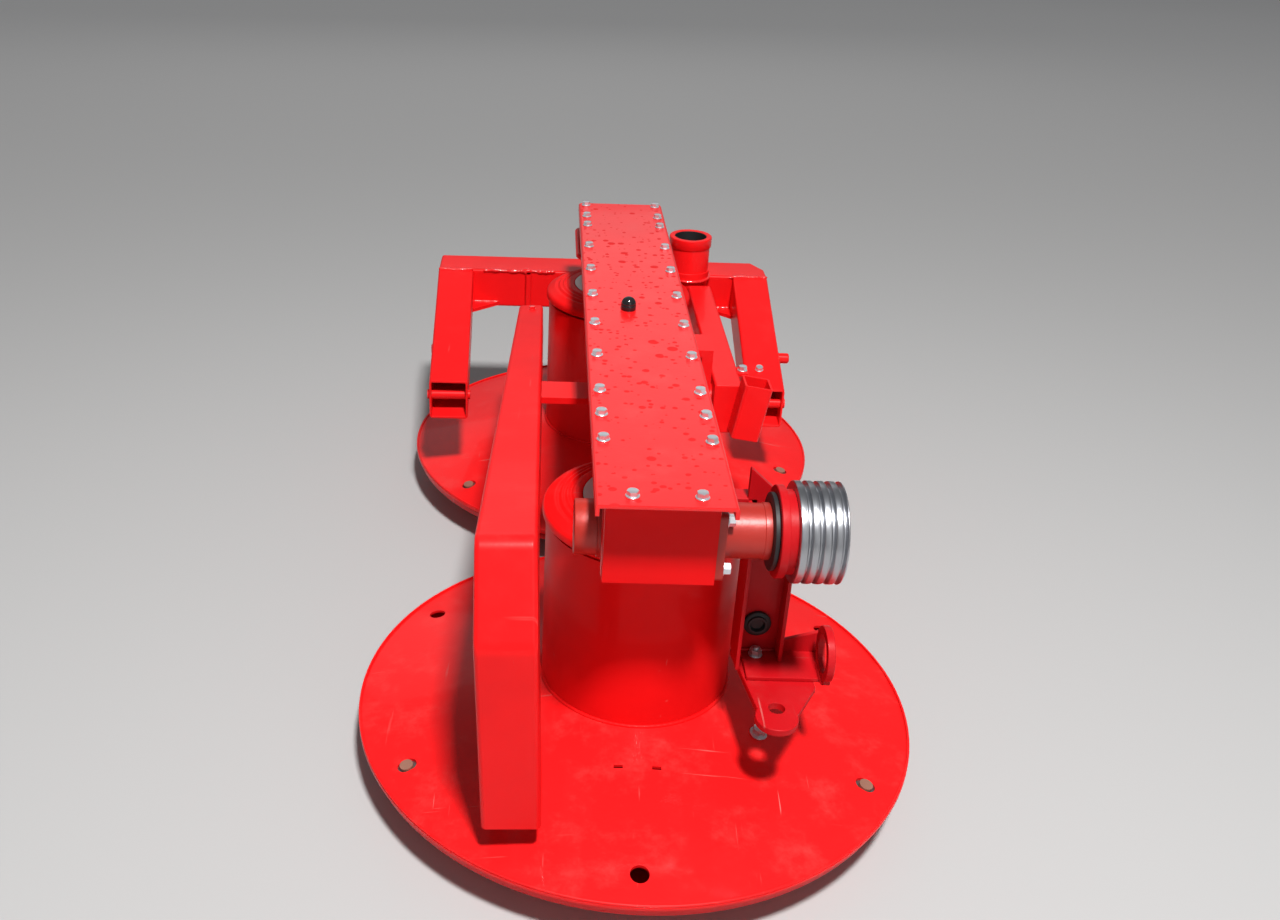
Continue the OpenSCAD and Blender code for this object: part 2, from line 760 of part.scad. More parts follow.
beam_box();
beam_end_plates();
beam_lid();
breather_plug();
input_stub();
bearing_housing();
seal_ring();
hanger_channel();
hanger_plug();
tongue_plate();
tongue_bar();
ring_lug();
grab_loop();
belt_guard();
guard_bracket();
arm_bracket();
hinge_pin();
drum_cover(near_y);  // near_drum_cover
drum_cover(far_y);  // far_drum_cover
bearing_hub(near_y);  // near_bearing_hub
bearing_hub(far_y);  // far_bearing_hub
drum_shell(near_y);  // near_drum_shell
cutting_disc(near_y, near_knife_angle);  // near_cutting_disc
knife_holders(near_y, near_knife_angle);  // near_knife_holders
knife_bolts(near_y, near_knife_angle);  // near_knife_bolts
drum_shaft(near_y);  // near_drum_shaft
drum_shell(far_y);  // far_drum_shell
cutting_disc(far_y, far_knife_angle);  // far_cutting_disc
knife_holders(far_y, far_knife_angle);  // far_knife_holders
knife_bolts(far_y, far_knife_angle);  // far_knife_bolts
drum_shaft(far_y);  // far_drum_shaft
sliding_dish(near_y);  // near_sliding_dish
sliding_dish(far_y);  // far_sliding_dish
vbelt_pulley();
pulley_hub_ring();
pulley_shaft();
carrying_arm();
pivot_post();
socket_tube();
hitch_crossbeam();
hitch_leg(-1);  // hitch_left_leg
hitch_leg(1);  // hitch_right_leg
pivot_sleeve();
hitch_pins();
hitch_gussets();
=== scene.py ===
"""Looks of a two-drum rotary mower: gloss red paint, zinc bolts, turned pulley, folded guard and welds."""

import logging
import math
from dataclasses import dataclass, field
from enum import Enum

import bpy
import numpy as np
from mathutils import Matrix, Vector
from mathutils.geometry import tessellate_polygon


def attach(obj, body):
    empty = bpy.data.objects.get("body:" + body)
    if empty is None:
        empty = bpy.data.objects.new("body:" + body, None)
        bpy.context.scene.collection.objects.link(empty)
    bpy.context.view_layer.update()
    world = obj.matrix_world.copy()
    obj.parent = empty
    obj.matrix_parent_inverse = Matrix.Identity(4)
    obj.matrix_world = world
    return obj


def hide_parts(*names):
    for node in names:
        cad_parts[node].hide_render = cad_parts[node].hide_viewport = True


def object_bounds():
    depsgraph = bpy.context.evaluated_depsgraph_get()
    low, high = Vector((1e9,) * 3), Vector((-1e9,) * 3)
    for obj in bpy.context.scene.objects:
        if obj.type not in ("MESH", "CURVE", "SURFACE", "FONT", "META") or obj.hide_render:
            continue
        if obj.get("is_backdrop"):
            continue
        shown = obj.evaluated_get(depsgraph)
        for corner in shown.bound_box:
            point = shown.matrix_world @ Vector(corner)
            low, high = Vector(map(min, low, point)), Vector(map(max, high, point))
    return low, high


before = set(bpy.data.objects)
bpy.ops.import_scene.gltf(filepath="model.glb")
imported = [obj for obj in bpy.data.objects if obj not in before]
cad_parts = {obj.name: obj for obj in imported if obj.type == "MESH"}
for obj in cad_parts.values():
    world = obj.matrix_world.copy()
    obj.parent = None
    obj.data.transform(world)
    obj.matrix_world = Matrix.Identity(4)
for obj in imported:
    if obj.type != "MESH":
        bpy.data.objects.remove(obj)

log = logging.getLogger("mower")
Array = np.ndarray
Pair = tuple[float, float]
Point = tuple[float, float, float]
Node = bpy.types.Node
Socket = bpy.types.NodeSocket
Tree = bpy.types.NodeTree
MM = 0.001
ROUND = 2 * np.pi
RIPPLE = 4.2  # from one weld ripple to the next, in millimetres
RING_GAP = 1.6  # between the rings of a weld bead
TAPER = 4.0  # over which a bead's ends thin out
WANDER = 11.0  # over which a seam drifts to and fro
CREASE = math.radians(42)  # sharper edges keep a hard line
BUMP = 0.35  # strength of every bump
RELIEF = 0.0006  # and its height in metres
ROUGHER = {"scuff": 0.3, "dust": 0.5, "drop": 0.35, "tool": 0.16}  # added to the roughness under a full mask
DROP_TINT = 0.5  # how far a drop's colour goes to the wet one
DROP_RISE = 1.6  # a drop's height beside the orange peel's
INPUT_AT = (0, -578.5, 459.0)  # on the input shaft's axis


class Axis(Enum):
    """The part's own axis along which a local Z axis is laid."""

    X = (2, 0, 1)
    Y = (1, 2, 0)
    Z = (0, 1, 2)

    def turn(self, points: Array) -> Array:
        """Turns n by 3 points whose local Z is to lie along this axis, keeping their handedness."""
        return points[:, list(self.value)]


@dataclass
class Shell:
    """Points and faces of one piece, in millimetres, gathered patch by patch."""

    points: list[Array] = field(default_factory=list)
    faces: list[list[int]] = field(default_factory=list)
    count: int = 0

    def add(self, points: Array, faces: list[list[int]]) -> "Shell":
        """Adds a patch.

        Args:
            points: n by 3 points.
            faces: lists of indices into points.

        Returns:
            This shell.
        """
        self.points.append(np.asarray(points, float))
        self.faces.extend([[self.count + i for i in f] for f in faces])
        self.count += len(points)
        return self

    def join(self, other: "Shell", shift: Point = (0, 0, 0)) -> "Shell":
        """Adds another shell, shifted, and returns this one."""
        return self.add(np.concatenate(other.points) + np.array(shift, float), other.faces)

    def moved(self, matrix: Array, shift: Point = (0, 0, 0)) -> "Shell":
        """Makes a copy changed by a 3 by 3 matrix, then shifted."""
        points = np.concatenate(self.points) @ np.asarray(matrix, float).T + np.array(shift, float)
        return Shell().add(points, self.faces)


def unit(vectors: Array) -> Array:
    """Scales n vectors to length 1; one without a length stays as it is."""
    return vectors / np.maximum(np.linalg.norm(vectors, axis=1, keepdims=True), 1e-9)


def each(value: float | Array, count: int) -> Array:
    """One value for all, or one for each, as an array."""
    return np.broadcast_to(np.asarray(value, float), (count,))


def full_turn(steps: int) -> Array:
    """Angles of a full turn in equal steps."""
    return np.linspace(0, ROUND, steps, endpoint=False)


def grid_faces(rows: int, cols: int, wrap_rows: bool = False, wrap_cols: bool = False) -> Array:
    """Quads of a grid of points stored row by row; they face along (column direction) x (row direction).

    Args:
        rows: number of rows.
        cols: number of points in a row.
        wrap_rows: joins the last row to the first.
        wrap_cols: joins the last column to the first.

    Returns:
        n by 4 indices.
    """
    last_row, last_col = (rows if wrap_rows else rows - 1), (cols if wrap_cols else cols - 1)
    i, j = (a.ravel() for a in np.meshgrid(np.arange(last_row), np.arange(last_col), indexing="ij"))
    i2, j2 = (i + 1) % rows, (j + 1) % cols
    return np.stack([i * cols + j, i * cols + j2, i2 * cols + j2, i2 * cols + j], -1)


def lathe(r: Array, z: Array, spin: float = 0.0, closed: bool = False) -> Shell:
    """Surface p(u, v) = (r(u, v) cos v, r(u, v) sin v, z(u, v)); a row with no radius becomes one pole.

    Args:
        r: rows by columns radii.
        z: rows by columns heights.
        spin: added to the angle v.
        closed: joins the last row to the first.

    Returns:
        The shell.
    """
    rows, cols = r.shape
    v = full_turn(cols) + spin
    pts = np.stack([r * np.cos(v), r * np.sin(v), z], -1).reshape(-1, 3)
    index = np.arange(rows * cols).reshape(rows, cols)
    pole = (r < 1e-6).all(1)
    index[pole] = index[pole][:, :1]
    quads = index.ravel()[grid_faces(rows, cols, closed, True)]
    kept, flat = np.unique(quads, return_inverse=True)
    faces = [list(dict.fromkeys(q)) for q in flat.reshape(quads.shape).tolist()]
    return Shell().add(pts[kept], [f for f in faces if len(f) > 2])


def turned(profile: Array, steps: int = 96, axis: Axis = Axis.Z, at: Point = (0, 0, 0)) -> Shell:
    """Surface of revolution of a profile (r(u), z(u)), laid along an axis.

    Args:
        profile: n by 2 points (r, z) with the body on their left; it closes where the last repeats the first.
        steps: divisions of the turn.
        axis: the part's axis that local Z is laid along.
        at: the local origin's place.

    Returns:
        The shell.
    """
    p = np.asarray(profile, float)
    closed = bool(np.allclose(p[0], p[-1]))
    p = p[:-1] if closed else p
    shell = lathe(np.repeat(p[:, :1], steps, 1), np.repeat(p[:, 1:], steps, 1), closed=closed)
    return Shell().add(axis.turn(shell.points[0]) + np.array(at, float), shell.faces)


def rounded(corners: Array, radius: float | Array, steps: int = 5) -> Array:
    """Rounds the corners of a closed outline with arcs.

    At a corner with half angle h the arc touches the sides at r / tan h from it, about a centre r / sin h away.

    Args:
        corners: n by 2 corners in order.
        radius: one radius, or one for each corner.
        steps: points on each arc.

    Returns:
        The rounded outline as m by 2 points.
    """
    c = np.asarray(corners, float)
    r = each(radius, len(c))
    a, b = unit(np.roll(c, 1, 0) - c), unit(np.roll(c, -1, 0) - c)
    half = np.arccos(np.clip((a * b).sum(1), -1, 1)) / 2
    centre = c + unit(a + b) * (r / np.sin(half))[:, None]
    start = c + a * (r / np.tan(half))[:, None] - centre
    end = c + b * (r / np.tan(half))[:, None] - centre
    t = np.linspace(0, 1, steps)[None, :, None]
    sweep = (np.pi - 2 * half)[:, None, None]
    arc = (np.sin((1 - t) * sweep) * start[:, None] + np.sin(t * sweep) * end[:, None]) / np.sin(sweep)
    return (centre[:, None] + arc).reshape(-1, 2)


def rect(a0: float, b0: float, a1: float, b1: float, radius: float, steps: int = 4) -> Array:
    """Rounded rectangle between two corners, counter-clockwise, as n by 2 points."""
    return rounded(np.array([[a0, b0], [a1, b0], [a1, b1], [a0, b1]]), radius, steps)


def rays(angles: Array) -> Array:
    """Unit vectors (cos v, sin v), as n by 2."""
    return np.stack([np.cos(angles), np.sin(angles)], -1)


def circle(centre: Pair, radius: float, steps: int) -> Array:
    """Points c + r (cos v, sin v) of a circle, as n by 2."""
    return np.array(centre, float) + radius * rays(full_turn(steps))


def convex_reach(corners: Array, centre: Array, toward: Array) -> Array:
    """Distance from a centre inside a convex polygon to its border: the least of d / (n . u) over its sides.

    Args:
        corners: n by 2 corners, counter-clockwise.
        centre: the point inside.
        toward: m by 2 unit vectors u.

    Returns:
        One distance for each vector.
    """
    side = np.roll(corners, -1, 0) - corners
    normal = np.stack([side[:, 1], -side[:, 0]], -1)
    far = ((corners - centre) * normal).sum(1)
    slope = toward @ normal.T
    return np.where(slope > 1e-9, far / np.maximum(slope, 1e-9), np.inf).min(1)


def bent(path: Array, reach: float | Array, steps: int) -> Array:
    """Rounds the inner corners of an open path with quadratic bends (1-t)^2 a + 2t(1-t) c + t^2 b.

    Args:
        path: n by d points.
        reach: how far a bend starts before and ends after its corner; one value, or one for each corner.
        steps: points on each bend.

    Returns:
        The smoothed path as m by d points.
    """
    p = np.asarray(path, float)
    c, far = p[1:-1], each(reach, len(p) - 2)[:, None]
    a, b = c + unit(p[:-2] - c) * far, c + unit(p[2:] - c) * far
    t = np.linspace(0, 1, steps)[None, :, None]
    bend = (1 - t) ** 2 * a[:, None] + 2 * t * (1 - t) * c[:, None] + t**2 * b[:, None]
    return np.concatenate([p[:1], bend.reshape(-1, p.shape[1]), p[-1:]])


def softened(profile: Array, rounds: int) -> Array:
    """Cuts the corners of a closed profile: each side keeps its points at 1/5 and 4/5, as often as asked.

    Args:
        profile: n by 2 corners.
        rounds: how often the corners are cut.

    Returns:
        The softened profile, with its first point again at its end.
    """
    p = np.asarray(profile, float)
    for _ in range(rounds):
        q = np.roll(p, -1, 0)
        p = np.stack([0.8 * p + 0.2 * q, 0.2 * p + 0.8 * q], 1).reshape(-1, 2)
    return np.concatenate([p, p[:1]])


def inset(loop: Array, depth: float) -> Array:
    """Moves each point of a loop to its left by depth, along the mean of its two sides' normals.

    Args:
        loop: n by 2 points in order.
        depth: how far.

    Returns:
        The moved points.
    """
    d = np.roll(loop, -1, 0) - loop
    n = unit(np.stack([-d[:, 1], d[:, 0]], -1))
    m = np.roll(n, 1, 0)
    return loop + (n + m) * (depth / np.maximum(1 + (n * m).sum(1), 0.3))[:, None]


def slab(axis: Axis, start: float, stop: float, loops: list[Array], edge: float | Pair = 0.8,
         steps: int = 3) -> Shell:
    """Carries an outline with holes along an axis and rounds both rims.

    A rim point at angle t lies e (1 - sin t) inside the outline and e (1 - cos t) from the face.

    Args:
        axis: the direction of the thickness.
        start: where it starts on that axis.
        stop: where it stops.
        loops: the outline, then its holes, in the two other axes in the order x, y, z.
        edge: rim radius, or one for each loop.
        steps: rings on each rim.

    Returns:
        A closed shell.
    """
    t = np.linspace(0, np.pi / 2, steps)
    shell, caps, starts = Shell(), [], []
    for k, (loop, e) in enumerate(zip(loops, each(edge, len(loops)))):
        ahead = np.roll(loop, -1, 0)
        area = (loop[:, 0] * ahead[:, 1] - loop[:, 1] * ahead[:, 0]).sum()
        loop = loop if (area > 0) == (k == 0) else loop[::-1]
        depth, low = e * (1 - np.sin(t)), e * (1 - np.cos(t))
        z = np.concatenate([start + low, stop - low[::-1]])
        rings = np.stack([np.column_stack([inset(loop, i), np.full(len(loop), h)])
                          for i, h in zip([*depth, *depth[::-1]], z)])
        starts.append(shell.count)
        caps.append(rings[0][:, :2])
        shell.add(rings.reshape(-1, 3), grid_faces(len(z), len(loop), False, True).tolist())
    index = np.concatenate([np.arange(len(c)) + s for c, s in zip(caps, starts)])
    lift = np.concatenate([np.full(len(c), (2 * steps - 1) * len(c)) for c in caps])
    tris = np.array(tessellate_polygon([[Vector((*p, 0)) for p in c] for c in caps]))
    a, b, c = (np.concatenate(caps)[tris[:, k]] for k in range(3))
    area = (b[:, 0] - a[:, 0]) * (c[:, 1] - a[:, 1]) - (b[:, 1] - a[:, 1]) * (c[:, 0] - a[:, 0])
    tris = tris if area.sum() > 0 else tris[:, ::-1]
    shell.faces.extend(index[tris][:, ::-1].tolist() + (index + lift)[tris].tolist())
    pts = np.concatenate(shell.points)
    if axis is Axis.Y:
        return Shell().add(pts[:, [0, 2, 1]], [f[::-1] for f in shell.faces])
    return Shell().add(axis.turn(pts), shell.faces)


def box(axis: Axis, start: float, stop: float, low: Pair, high: Pair, radius: float = 1.0,
        edge: float = 0.8) -> Shell:
    """Rectangular slab between two corners of its face, with rounded corners and rims."""
    return slab(axis, start, stop, [rect(*low, *high, radius)], edge)


def swept(path: Array, radius: float | Array, sides: int, closed: bool = False) -> Shell:
    """Round tube p(s, v) = c(s) + r(s) (n cos v + b sin v), with n and b square to the path.

    Args:
        path: n by 3 centreline.
        radius: one radius, or one for each path point.
        sides: points round the tube.
        closed: joins the last ring to the first.

    Returns:
        A shell with its ends capped.
    """
    c = np.asarray(path, float)
    d = unit(np.roll(c, -1, 0) - np.roll(c, 1, 0) if closed else np.gradient(c, axis=0))
    spread = np.linalg.svd(c - c.mean(0))[2][-1]
    ref = np.where(np.abs(d @ spread)[:, None] > 0.9, np.array([0.3, 0.5, 0.8]), spread)
    n = unit(np.cross(d, ref))
    b = np.cross(d, n)
    v = full_turn(sides)[None, :, None]
    r = each(radius, len(c))[:, None, None]
    ring = c[:, None] + r * (n[:, None] * np.cos(v) + b[:, None] * np.sin(v))
    faces = grid_faces(len(c), sides, closed, True).tolist()
    if not closed:
        faces += [list(range(sides))[::-1], [(len(c) - 1) * sides + i for i in range(sides)]]
    return Shell().add(ring.reshape(-1, 3), faces)


def bead(start: Point, end: Point, radius: float, seed: int, rough: float = 0.06) -> Shell:
    """Weld bead: a tube on the line a + s (b - a) whose radius r (1 + 0.16 |sin| + noise) swells at each ripple.

    Args:
        start: one end of the seam.
        end: the other end.
        radius: mean radius.
        seed: seed of the noise.
        rough: strength of the noise.

    Returns:
        A closed shell with tapered ends.
    """
    a, b = np.array(start, float), np.array(end, float)
    length = float(np.linalg.norm(b - a))
    n = max(12, int(length / RING_GAP))
    s = np.linspace(0, 1, n)
    noise = np.random.default_rng(seed).standard_normal(n + 4)
    noise = sum(noise[k:n + k] for k in range(5)) / 2.2
    wave = 1 + 0.16 * np.abs(np.sin(s * length / RIPPLE * np.pi)) + rough * noise
    wave *= np.clip(np.minimum(s, 1 - s) * length / TAPER, 0.12, 1) ** 0.5
    sway = np.outer(np.sin(s * length / WANDER + seed) * rough * 8, [0.1, 0.0, 0.4])
    return swept(a + s[:, None] * (b - a) + sway * radius / 3, radius * wave, 10)


def ring_bead(centre: Point, radius: float, thick: float, axis: Axis, seed: int) -> Shell:
    """Weld bead round a circle, with the same ripples as a straight one.

    Args:
        centre: the circle's centre.
        radius: the circle's radius.
        thick: the bead's radius.
        axis: the circle's normal.
        seed: seed of the noise.

    Returns:
        A closed shell.
    """
    v = full_turn(max(40, int(ROUND * radius / 2.2)))
    c = axis.turn(np.stack([radius * np.cos(v), radius * np.sin(v), 0 * v], -1)) + np.array(centre, float)
    k = max(6, int(ROUND * radius / (2 * RIPPLE))) / 2
    noise = np.sin(np.outer(v, np.arange(1, 5)) + np.random.default_rng(seed).uniform(0, 6, 4)).sum(1)
    return swept(c, thick * (1 + 0.14 * np.abs(np.sin(k * v)) + 0.03 * noise), 10, closed=True)


def along(normal: Point) -> Array:
    """Rotation, as a 3 by 3 array, that lays local Z along a direction."""
    return np.array(Vector(normal).to_track_quat("Z", "Y").to_matrix())


class Graph:
    """A material's or group's node tree, with short calls to add and join nodes."""

    def __init__(self, tree: Tree) -> None:
        """Keeps the tree."""
        self.tree = tree

    def add(self, kind: str, **values: object) -> Node:
        """Adds a node.

        Args:
            kind: the node's type name without its ShaderNode prefix, or a full name.
            values: node settings by attribute name.

        Returns:
            The new node.
        """
        node = self.tree.nodes.new(kind if kind.startswith("Node") else "ShaderNode" + kind)
        for key, value in values.items():
            setattr(node, key, value)
        return node

    def join(self, source: Socket, target: Socket) -> None:
        """Links two sockets."""
        self.tree.links.new(source, target)

    def feed(self, node: Node, **inputs: object) -> Node:
        """Sets or links inputs of a node by name, with underscores for spaces, or by _number.

        Args:
            node: the node to feed.
            inputs: a socket to link, or a value to set.

        Returns:
            The node.
        """
        for key, value in inputs.items():
            socket = node.inputs[int(key[1:])] if key[0] == "_" else node.inputs[key.replace("_", " ")]
            if isinstance(value, Socket):
                self.join(value, socket)
            else:
                socket.default_value = value
        return node

    def math(self, op: str, a: object, b: object, clamp: bool = False) -> Socket:
        """Adds a Math node and returns its output."""
        return self.feed(self.add("Math", operation=op, use_clamp=clamp), _0=a, _1=b).outputs[0]

    def times(self, a: object, b: object) -> Socket:
        """Multiplies two values."""
        return self.math("MULTIPLY", a, b)

    def plus(self, a: object, b: object) -> Socket:
        """Adds two values."""
        return self.math("ADD", a, b)

    def mix(self, factor: object, a: object, b: object) -> Socket:
        """Adds a colour Mix node and returns its output."""
        return self.feed(self.add("Mix", data_type="RGBA"), _0=factor, _6=a, _7=b).outputs[2]

    def ramp(self, source: object, low: float, high: float) -> Socket:
        """Maps low..high smoothly to 0..1 and returns the output."""
        node = self.add("MapRange", interpolation_type="SMOOTHSTEP")
        return self.feed(node, Value=source, From_Min=low, From_Max=high).outputs[0]

    def noise(self, place: object, scale: float, detail: float = 3.0, rough: float = 0.55) -> Socket:
        """Adds a Noise Texture and returns its value."""
        return self.feed(self.add("TexNoise"), Vector=place, Scale=scale, Detail=detail, Roughness=rough).outputs[0]

    def mapped(self, place: object, **values: object) -> Socket:
        """Turns or stretches coordinates and returns them."""
        return self.feed(self.add("Mapping"), Vector=place, **values).outputs[0]

    def upward(self) -> Socket:
        """Gives the surface normal's part along Z."""
        return self.feed(self.add("SeparateXYZ"), _0=self.add("NewGeometry").outputs["Normal"]).outputs["Z"]


class Effects:
    """Shared surface effects, each a node group built once."""

    def __init__(self) -> None:
        """Builds every group."""
        self.peel = self._peel()
        self.drift = self._drift()
        self.dust = self._dust()
        self.scuffs = self._scuffs()
        self.drops = self._drops()

    def _group(self, name: str, inputs: dict[str, object], outputs: tuple[str, ...]) -> tuple[Graph, Node, Node]:
        """Starts a node group that takes a vector and the named inputs.

        Args:
            name: the group's name.
            inputs: name to default, a number or a colour.
            outputs: names; Color is a colour and every other one a number.

        Returns:
            The graph, the input node and the output node.
        """
        tree = bpy.data.node_groups.new(name, "ShaderNodeTree")
        tree.interface.new_socket("Vector", in_out="INPUT", socket_type="NodeSocketVector")
        for key, default in inputs.items():
            kind = "NodeSocketFloat" if isinstance(default, float) else "NodeSocketColor"
            tree.interface.new_socket(key, in_out="INPUT", socket_type=kind).default_value = default
        for key in outputs:
            kind = "NodeSocketColor" if key == "Color" else "NodeSocketFloat"
            tree.interface.new_socket(key, in_out="OUTPUT", socket_type=kind)
        g = Graph(tree)
        return g, g.add("NodeGroupInput"), g.add("NodeGroupOutput")

    def _peel(self) -> Tree:
        """Orange peel of sprayed paint: height from a fine and a wide noise.

        Returns:
            The group.
        """
        g, i, o = self._group("orange_peel", {"Depth": 1.0}, ("Height",))
        fine, wide = g.noise(i.outputs["Vector"], 240.0, 1.0), g.noise(i.outputs["Vector"], 34.0, 2.0)
        g.feed(o, Height=g.times(g.plus(fine, g.times(wide, 2.2)), i.outputs["Depth"]))
        return g.tree

    def _drift(self) -> Tree:
        """Slow drift of a colour towards a darker tone, in wide soft patches.

        Returns:
            The group.
        """
        ins = {"Color": (1, 1, 1, 1), "Dark": (0, 0, 0, 1), "Amount": 0.2}
        g, i, o = self._group("tone_drift", ins, ("Color",))
        share = g.times(g.ramp(g.noise(i.outputs["Vector"], 5.0, 4.0), 0.35, 0.7), i.outputs["Amount"])
        g.feed(o, Color=g.mix(share, i.outputs["Color"], i.outputs["Dark"]))
        return g.tree

    def _dust(self) -> Tree:
        """Thin dust: more on faces that look up, broken into specks by noise.

        Returns:
            The group.
        """
        g, i, o = self._group("dust_veil", {"Color": (1, 1, 1, 1), "Amount": 0.2}, ("Color", "Mask"))
        patch = g.ramp(g.noise(i.outputs["Vector"], 16.0, 9.0, 0.72), 0.48, 0.8)
        mask = g.math("MULTIPLY", g.times(g.ramp(g.upward(), 0.1, 0.95), patch), i.outputs["Amount"], True)
        g.feed(o, Mask=mask, Color=g.mix(mask, i.outputs["Color"], (0.62, 0.36, 0.32, 1)))
        return g.tree

    def _scuffs(self) -> Tree:
        """Fine scratches: two crossed, stretched noises cut to thin lines, in a few patches; on the welds, where
        their colour is pale, they are painted glint highlights as well as chipped paint.

        Returns:
            The group.
        """
        g, i, o = self._group("fine_scuffs", {"Amount": 1.0}, ("Mask",))
        place, masks = i.outputs["Vector"], []
        for turn, stretch in ((0.5, (4.0, 160.0, 40.0)), (-0.9, (150.0, 5.0, 40.0))):
            lines = g.noise(g.mapped(place, Rotation=(0.0, 0.0, turn), Scale=stretch), 1.0, 2.0)
            masks.append(g.times(g.ramp(lines, 0.70, 0.76), g.ramp(g.noise(place, 9.0), 0.45, 0.7)))
        g.feed(o, Mask=g.math("MULTIPLY", g.math("MAXIMUM", *masks), i.outputs["Amount"], True))
        return g.tree

    def _drops(self) -> Tree:
        """Drying water on level faces: flat-topped spots of two sizes round scattered points.

        Returns:
            The group.
        """
        g, i, o = self._group("water_drops", {"Amount": 1.0}, ("Height", "Mask"))
        place, spots = i.outputs["Vector"], []
        for scale, size, keep in ((42.0, 0.34, 0.45), (95.0, 0.40, 0.45)):
            cells = g.feed(g.add("TexVoronoi"), Vector=place, Scale=scale, Randomness=1.0)
            pick = g.feed(g.add("SeparateColor"), _0=cells.outputs["Color"]).outputs
            reach = g.plus(g.times(pick[1], size), 0.05)
            dome = g.math("SUBTRACT", 1.0, g.math("DIVIDE", cells.outputs["Distance"], reach), True)
            spots.append(g.times(g.ramp(dome, 0.0, 0.5), g.math("GREATER_THAN", pick[0], keep)))
        level = g.ramp(g.upward(), 0.9, 0.99)
        patch = g.times(g.ramp(g.noise(place, 6.0, 2.0), 0.36, 0.5), i.outputs["Amount"])
        height = g.times(g.times(g.math("MAXIMUM", *spots), level), patch)
        g.feed(o, Height=height, Mask=g.ramp(height, 0.02, 0.3))
        return g.tree


@dataclass(frozen=True)
class Skin:
    """A built material and the record's material slot that it stands for."""

    material: bpy.types.Material
    slot: str


@dataclass(frozen=True)
class Finish:
    """A surface finish: the constants that go on the shader, and what varies over the surface."""

    name: str
    colour: Point
    rough: float
    slot: str = "red_paint"
    metal: float = 0.0
    coat: float = 0.0
    gloss: float = 0.5
    peel: float = 0.0
    drift: float = 0.0
    dark: Point = (0.30, 0.002, 0.003)
    dust: float = 0.0
    scuff: float = 0.0
    scuff_colour: Point = (0.55, 0.20, 0.18)
    drops: float = 0.0
    wet: Point = (0.45, 0.002, 0.003)
    tool_marks: Point = (0.0, 0.0, 0.0)

    def skin(self, effects: Effects) -> Skin:
        """Builds the material from the shared node groups.

        Args:
            effects: the shared node groups.

        Returns:
            The new material with its slot.
        """
        mat = bpy.data.materials.new(self.name)
        mat.use_nodes = True
        g = Graph(mat.node_tree)
        shader = mat.node_tree.nodes["Principled BSDF"]
        g.feed(shader, Coat_Weight=self.coat, Coat_Roughness=0.05, Metallic=self.metal, Specular_IOR_Level=self.gloss)
        place = g.add("TexCoord").outputs["Object"]

        def use(tree: Tree, **values: object) -> dict[str, Socket]:
            """Places a shared group, feeds it and returns its outputs."""
            return g.feed(g.add("Group", node_tree=tree), Vector=place, **values).outputs

        colour: object = (*self.colour, 1)
        rough: object = self.rough
        heights = []
        if self.drift:
            colour = use(effects.drift, Color=colour, Dark=(*self.dark, 1), Amount=self.drift)["Color"]
        if self.scuff:
            mask = use(effects.scuffs, Amount=self.scuff)["Mask"]
            colour = g.mix(mask, colour, (*self.scuff_colour, 1))
            rough = g.plus(rough, g.times(mask, ROUGHER["scuff"]))
        if self.dust:
            veil = use(effects.dust, Color=colour, Amount=self.dust)
            colour = veil["Color"]
            rough = g.plus(rough, g.times(veil["Mask"], ROUGHER["dust"]))
        if self.drops:
            spots = use(effects.drops, Amount=self.drops)
            colour = g.mix(g.times(spots["Mask"], DROP_TINT), colour, (*self.wet, 1))
            g.feed(shader, Coat_Weight=g.times(g.math("SUBTRACT", 1.0, spots["Mask"]), self.coat))
            rough = g.plus(rough, g.times(spots["Mask"], ROUGHER["drop"]))
            heights.append(g.times(spots["Height"], DROP_RISE))
        if any(self.tool_marks):
            marks = g.noise(g.mapped(place, Scale=self.tool_marks), 1.0)
            rough = g.plus(rough, g.times(marks, ROUGHER["tool"]))
            heights.append(marks)
        if self.peel:
            heights.append(use(effects.peel, Depth=self.peel)["Height"])
        if heights:
            height = g.plus(*heights) if len(heights) > 1 else heights[0]
            bump = g.feed(g.add("Bump"), Height=height, Strength=BUMP, Distance=RELIEF)
            g.feed(shader, Normal=bump.outputs[0])
        g.feed(shader, Base_Color=colour, Roughness=rough)
        return Skin(mat, self.slot)


